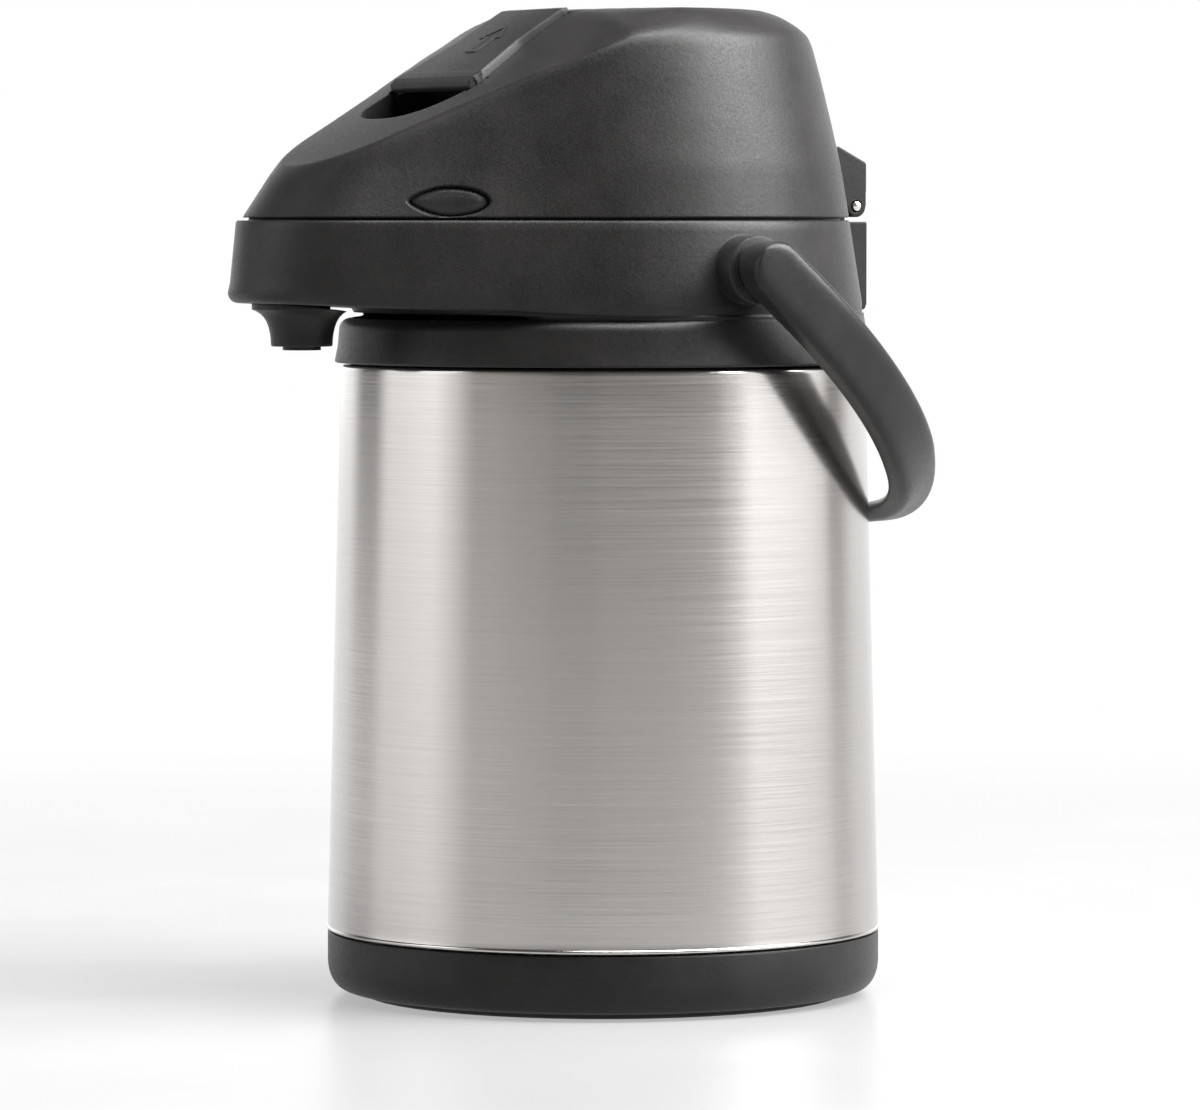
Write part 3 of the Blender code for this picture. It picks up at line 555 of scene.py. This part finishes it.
def build_housing():
    housing = loft("head_shell", housing_rings())
    leaf = [(70.0, 230.8), (79.4, 230.8), (79.8, 230.4), (79.8, 206.2), (79.3, 204.8)]
    join(housing, bar("leaf", leaf + [(78.4, 204.3), (70.0, 204.0)], -HINGE_HALF, HINGE_HALF))
    y, z = PIVOT
    for side in (-1, 1):
        join(housing, rod("boss", (side * 60.0, y, z), (side * 83.5, y, z), BOSS_R, 64, 0.6))
    low = (FLOOR_TOP, *section(HOUSING_PLAN, FLOOR_TOP))
    high = (PARTING_Z + 3.0, 73.1, 80.4, 36.9)
    cut(housing, plan_loft("cavity", [low, high], HOUSING_WALL))
    under = [(0, 185.0), (75.9, 185.0), (75.9, 190.5), (74.9, 203.6), (71.5, 206.9)]
    cut(housing, revolve("under", under + [(46.9, 206.9), (46.9, 212.0), (0, 212.0)], steps=96))
    hole = [(0, 200), (8.8, 200), (8.8, 215), (0, 215)]
    cut(housing, revolve("hole", hole, (0.0, SPOUT_Y), 48))
    for side in (-1, 1):
        cut(housing, rod("hole", (side * 68.0, y, z), (side * 90.0, y, z), PIVOT_BORE_R))
    y, z = HINGE
    knuckle = rod("knuckle", (-7.8, y, z), (7.8, y, z), KNUCKLE_R, 48, 0.3)
    join(knuckle, box("web", (-7.8, 74.0, 229.0), (7.8, 79.4, z)))
    join(housing, knuckle)
    cut(housing, rod("hole", (-9.0, y, z), (9.0, y, z), HINGE_BORE_R, 24))
    finish_piece(housing, "pot", "black_plastic", "head_housing")

    tongue = plan_loft("parting_tongue", [(228.0, 73.9, 80.9, 37.1), (232.2, 73.4, 79.9, 36.7)], 2.9)
    inner = plan_loft("inner", [(226.0, 73.9, 80.9, 37.1), (235.0, 73.2, 79.7, 36.6)], 3.6)
    cut(tongue, inner)
    finish_piece(tongue, "pot", "black_plastic")

    outer = [(6.0, 195.0), (6.4, 194.6)] + arc(8.5, 195.1, 0.5, -90.0, 0.0, 5)
    outer += [(9.1, 197.0), (9.3, 198.5), (9.7, 200.2), (10.3, 201.8), (11.1, 203.1)]
    outer += [(12.1, 204.1), (13.2, 204.8), (14.6, 205.4), (14.6, 210.0), (6.0, 210.0)]
    nozzle = revolve("nozzle", outer, (0.0, SPOUT_Y), 96)
    trim = [(-70.0, 202.95), (-125.0, 208.2), (-125.0, 220.0), (-70.0, 220.0)]
    cut(nozzle, bar("trim", trim, -20.0, 20.0))
    neck = [(6.0, 200.0), (8.4, 200.0), (8.4, 212.4), (6.0, 212.4)]
    join(nozzle, revolve("neck", neck, (0.0, SPOUT_Y), 96))
    finish_piece(nozzle, "pot", "black_plastic", "spout_nozzle")


# ---------------------------------------------------------------- lid


def lid_rings():
    """Rings climbing the lid's side, pressed down onto the sloping face and the flat top."""
    rings = []
    heights = [LID_PLAN[0][0] + 0.35]
    heights += list(np.arange(233.4, 243.0, 1.2)) + list(np.arange(243.0, 296.0, 0.5))
    first = plan(*LID_PLAN[0][1:], 0.4)
    rings.append(np.column_stack([first, np.full(len(first), LID_PLAN[0][0])]))
    for z in heights:
        points = plan(*section(LID_PLAN, z, 0.0 if z < 240.0 else 2.2))
        rings.append(np.column_stack([points, np.full(len(points), z)]))
    last = rings[-1]
    for share in (0.96, 0.9, 0.82, 0.72, 0.6, 0.46, 0.3, 0.14):
        inner = last * (share, share, 1.0)
        inner[:, 2] = 300.0
        rings.append(inner)
    for ring in rings[1:]:
        x, y, z = ring[:, 0], ring[:, 1], ring[:, 2]
        facet = smooth_min(facet_height(x, y), np.full_like(x, TOP_Z), 2.0)
        ring[:, 2] = np.maximum(smooth_min(z, facet, 3.6), LID_PLAN[0][0] + 0.3)
    return rings


def under_facet(name, drop):
    """Everything below the lid's sloping front face and flat top, lowered by drop."""
    xs = np.linspace(-90.0, 90.0, 14)
    ys = [-135.0, -112.0, -101.7, -89.0, -75.0, -57.0]
    ys += [-39.4, -32.0, -25.9, -21.0, -14.0, -6.0, 4.0, 20.0, 95.0]
    rings = []
    for y in ys:
        top = [(x, y, min(TOP_Z, facet_height(x, y)) - drop) for x in xs]
        rings.append(top + [(x, y, 190.0) for x in xs[::-1]])
    obj = loft(name, rings)
    work = bmesh.new()
    work.from_mesh(obj.data)
    bmesh.ops.triangulate(work, faces=work.faces)
    work.to_mesh(obj.data)
    work.free()
    return obj


def lever_path(count=40):
    """The lever's top line as evenly spread points of (y, z, half width)."""
    table = np.array(LEVER_TOP)
    at = np.linspace(0.0, len(table) - 1.0, count)
    steps = np.arange(len(table))
    return [[float(np.interp(t, steps, table[:, c])) for c in range(3)] for t in at]


def lever_rings(half_extra, above, below, reach=0.0, edge=0.0):
    """Rings across the latch lever, with its upper corners rounded by edge."""
    path = lever_path() if edge else [list(p) for p in LEVER_TOP]
    rings = []
    for i, (y, z, half) in enumerate(path):
        a, b = path[max(i - 2, 0)], path[min(i + 2, len(path) - 1)]
        if not edge:
            a, b = path[max(i - 1, 0)], path[min(i + 1, len(path) - 1)]
        along = Vector((0, b[0] - a[0], b[1] - a[1])).normalized()
        up = Vector((0, -along.z, along.y))
        at = Vector((0, y, z))
        if i == 0:
            at -= along * reach
        if i == len(path) - 1:
            at += along * reach
            up = Vector((0, 0, 1))
        w = half + half_extra
        corner = [(w, -below)]
        if edge:
            for c in np.radians(np.linspace(0.0, 90.0, 6)):
                corner.append((w - edge + edge * math.cos(c), above - edge + edge * math.sin(c)))
        else:
            corner.append((w, above))
        outline = corner + [(-p, q) for p, q in corner[::-1]]
        rings.append([Vector((p, 0, 0)) + at + up * q for p, q in outline])
    return rings


def button_point(side, along, up, out):
    """A point in the flank button's own frame, mirrored for the left side."""
    rise = BUTTON_OUT.cross(BUTTON_ALONG)
    if rise.z < 0:
        rise = -rise
    p = BUTTON + BUTTON_ALONG * along + rise * up + BUTTON_OUT * out
    return (side * p.x, p.y, p.z)


def lens(grow, count=64):
    """Almond outline, sharper at its front end."""
    points = []
    for k in range(count):
        a = 2 * math.pi * k / count
        c, s = math.cos(a), math.sin(a)
        thin = 1.0 if c > 0 else 1.0 - 0.42 * c * c
        points.append(((11.2 + grow) * c, (4.0 + grow) * s * thin))
    return points


def lens_solid(name, side, layers):
    rings = [[button_point(side, a, u, out) for a, u in lens(grow)] for grow, out in layers]
    return loft(name, rings)


def pocket_outline(grow):
    """Finger pocket from above: round front, straight back under the lever's lip."""
    points = []
    for a in np.linspace(math.pi, 2 * math.pi, 49):
        c, s = math.cos(a), math.sin(a)
        x = (24.0 + grow) * math.copysign(abs(c) ** 0.8, c)
        points.append((x, -57.0 + (19.2 + grow) * math.copysign(abs(s) ** 0.9, s)))
    return points + [(22.0 + grow, -44.0 + grow), (-22.0 - grow, -44.0 + grow)]


def pocket_solid(name, layers):
    return loft(name, [[(x, y, z) for x, y in pocket_outline(g)] for g, z in layers])


def upright(name, at, radius, low, high, steps=48):
    return revolve(name, [(0, low), (radius, low), (radius, high), (0, high)], at, steps)


POSTS = [(48.0, 22.0), (-48.0, 22.0), (34.0, -50.0), (-34.0, -50.0)]


def build_lid_cover():
    cover = loft("lid_shell", lid_rings())
    leaf = [(68.0, 239.4), (79.2, 239.4), (79.6, 239.8), (79.6, 248.0), (79.2, 248.7)]
    join(cover, bar("leaf", leaf + [(70.0, 253.4), (66.0, 253.4)], -HINGE_HALF, HINGE_HALF))

    hollow = plan_loft("hollow", [(228.0, 74.0, 81.0, 37.2)] + LID_PLAN, LID_WALL)
    combine(hollow, under_facet("inner face", 2.7), "INTERSECT")
    cut(hollow, pocket_solid("tub", [(2.2, 251.8), (2.2, 300.0)]))
    for at in POSTS:
        cut(hollow, upright("post", at, 4.0, 235.1, 300.0, 24))
    tube = [(32.8, 280.0), (34.6, 280.0), (34.6, 300.0), (32.8, 300.0)]
    cut(hollow, revolve("guide", tube, (0.0, PUMP_Y), 96))
    y, z = LEVER_PIVOT
    for side in (-1, 1):
        low, high = sorted((side * 19.9, side * 21.8))
        rib = [(y - 4.0, z - 6.0), (y + 3.4, z - 6.0), (y + 3.4, 300.0), (y - 4.0, 300.0)]
        cut(hollow, bar("rib", rib, low, high))
    cut(cover, hollow)

    floor = 254.0
    layers = [(-3.0, floor), (-1.0, floor + 0.5), (-0.2, floor + 1.8), (0.0, floor + 3.5)]
    cut(cover, pocket_solid("pocket", layers + [(0.0, 300.0)]))
    cut(cover, loft("lever gap", lever_rings(0.5, 9.0, 4.7, 1.3)))
    lip = [(-59.4, 274.0), (-59.4, 268.8), (-56.6, 267.9), (-52.0, 270.4), (-52.0, 277.0)]
    cut(cover, bar("lip gap", lip, -25.5, 25.5))
    cut(cover, upright("well", (0.0, PUMP_Y), PLATE_R + 0.8, 285.0, 300.0, 128))
    for at in POSTS:
        cut(cover, upright("bore", at, 1.8, 230.0, 252.0, 24))
    for side in (-1, 1):
        cut(cover, lens_solid("hole", side, [(0.4, -6.0), (0.4, -1.4), (1.2, 0.2), (1.6, 4.0)]))
    y, z = HINGE
    for side in (-1, 1):
        inner, outer = side * 8.3, side * HINGE_HALF
        knuckle = rod("knuckle", (inner, y, z), (outer, y, z), KNUCKLE_R, 48, 0.3)
        low, high = sorted((inner, outer))
        join(knuckle, box("web", (low, 71.4, z), (high, 79.5, 240.6)))
        join(cover, knuckle)
    cut(cover, rod("bore", (-25, y, z), (25, y, z), HINGE_BORE_R, 32))
    cut(cover, rod("clearance", (-8.1, y, z), (8.1, y, z), 3.8, 48))
    y, z = LEVER_PIVOT
    cut(cover, rod("bore", (-21.4, y, z), (21.4, y, z), 1.5, 24))
    finish_piece(cover, "lid", "black_plastic", "lid_cover")


def build_buttons():
    dome = [(1.9, -5.4), (1.9, -4.2), (0.0, -4.2), (0.0, -1.9)]
    for t in (0.15, 0.35, 0.6, 0.8):
        dome.append((-3.9 * t, -1.9 + 1.1 * math.sqrt(t)))
    for side, name in ((1, "right"), (-1, "left")):
        button = lens_solid(f"button_cap_{name}", side, dome)
        finish_piece(button, f"button_{name}", "button_plastic", f"side_button_{name}")


def panel_point(x, along, rise):
    """A point on the lever's sloping panel, along it from the lip, lifted off it by rise."""
    y, z = LEVER_TOP[0][:2]
    c, d = math.cos(PANEL_SLOPE), math.sin(PANEL_SLOPE)
    return (x, y + along * c - rise * d, z + along * d + rise * c)


def build_arrow():
    """A plain outlined arrow, raised on the panel and pointing to the back."""
    corners = [(0.0, 8.0), (6.6, 1.2), (3.2, 1.2), (3.2, -6.6), (-3.2, -6.6), (-3.2, 1.2), (-6.6, 1.2)]
    shape = np.array(corners)
    inner = []
    for k, corner in enumerate(shape):
        before = shape[k] - shape[k - 1]
        after = shape[(k + 1) % len(shape)] - shape[k]
        sides = [np.array((d[1], -d[0])) / np.hypot(*d) for d in (before, after)]
        middle = sides[0] + sides[1]
        inner.append(corner + middle * ARROW_LINE / (1 + sides[0] @ sides[1]))
    count = len(shape)
    points = []
    for outline, rise in ((shape, -0.3), (shape, 0.28), (inner, 0.28), (inner, -0.3)):
        points += [panel_point(x, ARROW_AT + u, rise) for x, u in outline]
    faces = []
    for row in range(4):
        for k in range(count):
            n = (k + 1) % count
            other = (row + 1) % 4
            faces.append((row * count + k, row * count + n, other * count + n, other * count + k))
    return make("arrow", points, faces)


def build_lever():
    lever = loft("lever_body", lever_rings(0.0, 0.0, 4.2, edge=0.7))
    lip = [(-57.0, 273.2), (-54.0, 274.9), (-54.0, 271.2), (-56.6, 269.1)]
    for a in np.radians(np.linspace(-100.0, -205.0, 9)):
        lip.append((-56.8 + 1.7 * math.cos(a), 271.0 + 1.9 * math.sin(a)))
    pieces = [bar("lip", lip, -24.8, 24.8), build_arrow()]
    for side in (-1, 1):
        low, high = sorted((side * 11.2, side * 16.8))
        arm = [(-31.0, 287.0), (-31.0, 221.2), (-26.0, 221.2), (-26.0, 222.4)]
        pieces.append(bar("arm", arm + [(-28.0, 223.6), (-28.0, 287.0)], low, high))
        ear = [(-29.0, 284.8), (-24.4, 284.8), (-22.9, 286.4), (-22.9, 291.6)]
        pieces.append(bar("ear", ear + [(-26.2, 290.4), (-29.0, 288.4)], low + 0.3, high - 0.3))
    gather(lever, *pieces)
    finish_piece(lever, "latch", "black_plastic", "latch_lever")


def build_bellows():
    """The soft bellows and its coil spring, each given a mesh of its own."""
    low, high = BELLOWS_Z
    outer, inner = [], []
    for k in range(61):
        wave = 0.5 - 0.5 * math.cos(2 * math.pi * k / 12)
        z = low + (high - low) * k / 60
        outer.append((23.4 + 5.2 * wave, z))
        inner.append((22.1 + 5.2 * wave, z))
    soft = revolve("soft_bellows", outer + inner[::-1], (0.0, PUMP_Y), 64)
    finish_piece(soft, "lid", "seal_rubber", "bellows", SOFT_SHARP_ANGLE)
    rings = []
    turns, per_turn = 6, 40
    for k in range(turns * per_turn + 1):
        a = 2 * math.pi * k / per_turn
        out = Vector((math.cos(a), math.sin(a), 0))
        centre = Vector((0, PUMP_Y, 228.0 + 53.0 * k / (turns * per_turn))) + out * 14.0
        ring = []
        for b in np.radians(np.arange(0, 360, 36)):
            ring.append(centre + out * (1.1 * math.cos(b)) + Vector((0, 0, 1.1 * math.sin(b))))
        rings.append(ring)
    coil = loft("bellows_coil", rings)
    finish_piece(coil, "lid", "screw_steel", "bellows_spring", SOFT_SHARP_ANGLE)
    for piece in (soft, coil):
        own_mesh(piece)


def build_push_plate():
    plate = [(0, 286.4), (9.0, 286.4), (9.0, 290.4), (29.7, 290.4), (29.7, 284.4), (PLATE_R, 284.4)]
    plate += arc(PLATE_R - 0.8, 292.7, 0.8, 0.0, 90.0, 6)
    plate += [(29.6, 293.5), (28.4, 293.35), (27.0, 293.0), (20.0, 292.6), (10.0, 292.4), (0, 292.3)]
    disc = revolve("press_disc", plate, (0.0, PUMP_Y), 128)
    finish_piece(disc, "pump", "black_plastic", "push_plate")


# ---------------------------------------------------------------- handle


def handle_section(x, v, turn, half_wide, half_thick, roll):
    """One ring across the handle. turn points out of the loop, roll tips it level."""
    down = Vector((0, math.cos(HANDLE_DOWN), -math.sin(HANDLE_DOWN)))
    normal = Vector((0, math.sin(HANDLE_DOWN), math.cos(HANDLE_DOWN)))
    centre = Vector((x, PIVOT[0], PIVOT[1])) + down * v
    out = Vector((math.cos(turn), 0, 0)) + down * math.sin(turn)
    wide = normal * math.cos(roll) + out * math.sin(roll)
    thick = out * math.cos(roll) - normal * math.sin(roll)
    ring = []
    for k in range(32):
        a = 2 * math.pi * (k + 0.5) / 32
        c, s = math.cos(a), math.sin(a)
        p = half_wide * math.copysign(abs(c) ** 0.38, c)
        q = half_thick * math.copysign(abs(s) ** 0.5, s)
        ring.append(centre + wide * p + thick * q)
    return ring


def build_handle():
    side_x = HANDLE_HALF - ARM_HALF_THICK
    rings = []
    for a in np.linspace(0.12, math.pi / 2, 16)[:-1]:
        v = -ARM_HALF_WIDE * math.cos(a)
        half_wide = ARM_HALF_WIDE * math.sin(a)
        rings.append(handle_section(side_x, v, 0.0, half_wide, ARM_HALF_THICK, 0.0))
    for t in np.linspace(0.0, math.pi / 2, 60):
        share = t / (math.pi / 2)
        half = ARM_HALF_THICK - 3.4 * share**0.8
        outer_x = HANDLE_HALF * max(math.cos(t), 0.0) ** 0.96
        outer_v = HANDLE_STRAIGHT + (HANDLE_REACH - HANDLE_STRAIGHT) * math.sin(t)
        rise = (HANDLE_REACH - HANDLE_STRAIGHT) * math.cos(t)
        turn = math.atan2(HANDLE_HALF * math.sin(t), rise)
        x = outer_x - half * math.cos(turn)
        v = outer_v - half * math.sin(turn)
        wide = ARM_HALF_WIDE - 1.6 * max(0.0, share - 0.5) * 2
        ease = min(1.0, max(0.0, (share - 0.55) / 0.4))
        roll = GRIP_ROLL * ease * ease * (3 - 2 * ease)
        rings.append(handle_section(x, v, turn, wide, half, roll))
    mirrored = [[(-p[0], p[1], p[2]) for p in ring] for ring in rings[-2::-1]]
    handle = loft("carry_handle", rings + mirrored)
    y, z = PIVOT
    for side in (-1, 1):
        cut(handle, rod("bore", (side * 80.0, y, z), (side * 93.4, y, z), PIVOT_BORE_R))
    finish_piece(handle, "handle", "handle_plastic", "bail_handle", HANDLE_SHARP_ANGLE)


def build_hinge_pin():
    y, z = HINGE
    pin = rod("hinge_rod", (-20.6, y, z), (20.6, y, z), 1.5, 48, 0.5)
    finish_piece(pin, "lid", "pin_nickel", "hinge_pin")


# ---------------------------------------------------------------- stage

AIM_AZIMUTH = math.radians(61.0)
CAMERA_DISTANCE = 2.086
CAMERA_HEIGHT = 0.234
CAMERA_PITCH = math.radians(2.82)
LIGHT_AIM = 0.15

# Floor: half its width in millimetres, then how it turns to plain white further out, in metres
FLOOR_HALF = 9000.0
FLOOR_COLOUR = (0.27, 0.27, 0.273)
FLOOR_ROUGHNESS = (0.30, 0.36)
FLOOR_GLOW = 0.42
FLOOR_FADE = (0.25, 0.95)


def area_light(name, azimuth, distance, height, size, watts):
    """Softbox facing the pot; azimuth is measured like the camera's, from straight in front."""
    light = bpy.data.lights.new(name, "AREA")
    light.shape = "RECTANGLE"
    light.size, light.size_y = size
    light.energy = watts
    obj = bpy.data.objects.new(name, light)
    a = math.radians(azimuth)
    obj.location = (distance * math.sin(a), -distance * math.cos(a), height)
    toward = Vector((0, 0, LIGHT_AIM)) - obj.location
    obj.rotation_euler = toward.to_track_quat("-Z", "Y").to_euler()
    bpy.context.scene.collection.objects.link(obj)


def build_floor():
    corners = [(-FLOOR_HALF, -FLOOR_HALF, 0), (FLOOR_HALF, -FLOOR_HALF, 0)]
    corners += [(FLOOR_HALF, FLOOR_HALF, 0), (-FLOOR_HALF, FLOOR_HALF, 0)]
    floor = make("floor", corners, [(0, 1, 2, 3)])
    n = Nodes("floor_paint", FLOOR_COLOUR, FLOOR_ROUGHNESS[0])
    n.set(n.shader, "Specular IOR Level", 0.35)
    n.set(n.shader, "Roughness", n.spread(n.noise(9.0, 3.0), *FLOOR_ROUGHNESS))
    glow = n.add("ShaderNodeEmission")
    n.set(glow, "Color", (1, 1, 1, 1))
    n.set(glow, "Strength", 1.0)
    distance = n.add("ShaderNodeVectorMath")
    distance.operation = "LENGTH"
    n.set(distance, "Vector", n.place)
    blend = n.add("ShaderNodeMixShader")
    far = n.spread(distance.outputs["Value"], FLOOR_GLOW, 1.0, *FLOOR_FADE)
    n.tree.links.new(far, blend.inputs[0])
    n.tree.links.new(n.shader.outputs[0], blend.inputs[1])
    n.tree.links.new(glow.outputs[0], blend.inputs[2])
    output = next(node for node in n.tree.nodes if node.type == "OUTPUT_MATERIAL")
    n.tree.links.new(blend.outputs[0], output.inputs["Surface"])
    floor.data.materials.append(n.material)


def build_lights():
    centre = math.degrees(AIM_AZIMUTH)
    area_light("overhead", centre + 60.0, 0.45, 1.45, (1.0, 1.0), 44.0)
    area_light("key_right", centre + 78.0, 1.15, 1.0, (1.0, 0.8), 52.0)
    area_light("fill_left", centre - 80.0, 1.3, 0.9, (0.7, 0.7), 4.0)


# Brightness of the studio walls round the pot: (degrees to the right of the camera, level, warmth)
WALLS = [
    (-180, 1.80, 0.0),
    (-143, 1.50, 0.0),
    (-131, 0.14, 0.1),
    (-117, 0.10, 0.1),
    (-108, 1.45, 0.0),
    (-78, 1.75, 0.0),
    (-66, 0.95, 0.3),
    (-58, 0.32, 1.0),
    (-48, 0.34, 0.9),
    (-34, 0.22, 0.9),
    (-24, 0.16, 0.7),
    (-21, 0.09, 0.6),
    (-6, 0.07, 0.6),
    (0, 0.13, 0.7),
    (26, 0.15, 0.5),
    (50, 0.24, 0.4),
    (60, 0.75, 0.1),
    (68, 1.85, 0.0),
    (100, 1.80, 0.0),
    (110, 1.40, 0.0),
    (117, 0.16, 0.2),
    (124, 0.16, 0.2),
    (137, 1.30, 0.0),
    (180, 1.80, 0.0),
]
WALL_MOST = 1.9
UPPER_LEVEL = 0.09
UPPER_FADE = (0.16, 0.50)
WARM_RED = 0.06
WARM_BLUE = 0.10


def build_world():
    """Studio walls that light the pot and show in its reflections; the camera sees plain white."""
    world = bpy.data.worlds.new("studio")
    bpy.context.scene.world = world
    world.use_nodes = True
    tree = world.node_tree
    link = tree.links.new

    def node(kind, **values):
        made = tree.nodes.new(kind)
        for key, value in values.items():
            setattr(made, key, value)
        return made

    direction = node("ShaderNodeTexCoord").outputs["Generated"]
    toward = (math.sin(AIM_AZIMUTH), -math.cos(AIM_AZIMUTH), 0.0)
    rightward = (math.cos(AIM_AZIMUTH), math.sin(AIM_AZIMUTH), 0.0)
    angle = node("ShaderNodeMath", operation="ARCTAN2")
    for i, axis in enumerate((rightward, toward)):
        dot = node("ShaderNodeVectorMath", operation="DOT_PRODUCT")
        link(direction, dot.inputs[0])
        dot.inputs[1].default_value = axis
        link(dot.outputs["Value"], angle.inputs[i])
    share = node("ShaderNodeMapRange")
    link(angle.outputs[0], share.inputs["Value"])
    share.inputs["From Min"].default_value = -math.pi
    share.inputs["From Max"].default_value = math.pi
    ramp = node("ShaderNodeValToRGB")
    link(share.outputs["Result"], ramp.inputs["Fac"])
    stops = ramp.color_ramp.elements
    while len(stops) < len(WALLS):
        stops.new(0.5)
    for stop, (degrees, level, warmth) in zip(stops, WALLS):
        stop.position = (degrees + 180.0) / 360.0
        level /= WALL_MOST
        red, blue = level * (1 + WARM_RED * warmth), level * (1 - WARM_BLUE * warmth)
        stop.color = (red, level, blue, 1.0)
    rise = node("ShaderNodeSeparateXYZ")
    link(direction, rise.inputs[0])
    upper = node("ShaderNodeMapRange", interpolation_type="SMOOTHSTEP")
    link(rise.outputs["Z"], upper.inputs["Value"])
    upper.inputs["From Min"].default_value = UPPER_FADE[0]
    upper.inputs["From Max"].default_value = UPPER_FADE[1]
    dim = node("ShaderNodeMix", data_type="RGBA")
    link(upper.outputs["Result"], dim.inputs["Factor"])
    link(ramp.outputs["Color"], dim.inputs[6])
    level = UPPER_LEVEL / WALL_MOST
    dim.inputs[7].default_value = (level, level, level, 1.0)
    walls = tree.nodes["Background"]
    link(dim.outputs[2], walls.inputs["Color"])
    walls.inputs["Strength"].default_value = WALL_MOST
    white = node("ShaderNodeBackground")
    white.inputs["Color"].default_value = (1, 1, 1, 1)
    seen = node("ShaderNodeMixShader")
    link(node("ShaderNodeLightPath").outputs["Is Camera Ray"], seen.inputs[0])
    link(walls.outputs[0], seen.inputs[1])
    link(white.outputs[0], seen.inputs[2])
    link(seen.outputs[0], tree.nodes["World Output"].inputs["Surface"])


def build_camera():
    data = bpy.data.cameras.new("camera")
    data.sensor_width = 36.0
    data.lens = 209.4
    data.clip_end = 60.0
    data.shift_x = -0.0025
    camera = bpy.data.objects.new("camera", data)
    camera.location = (
        CAMERA_DISTANCE * math.sin(AIM_AZIMUTH),
        -CAMERA_DISTANCE * math.cos(AIM_AZIMUTH),
        CAMERA_HEIGHT,
    )
    camera.rotation_euler = (math.pi / 2 - CAMERA_PITCH, 0.0, AIM_AZIMUTH)
    bpy.context.scene.collection.objects.link(camera)
    bpy.context.scene.camera = camera
    bpy.context.scene.view_settings.view_transform = "Standard"


dress_cad_nodes()
build_body()
build_housing()
build_lid_cover()
build_buttons()
build_lever()
build_push_plate()
build_bellows()
build_handle()
build_hinge_pin()
build_floor()
build_world()
build_lights()
build_camera()
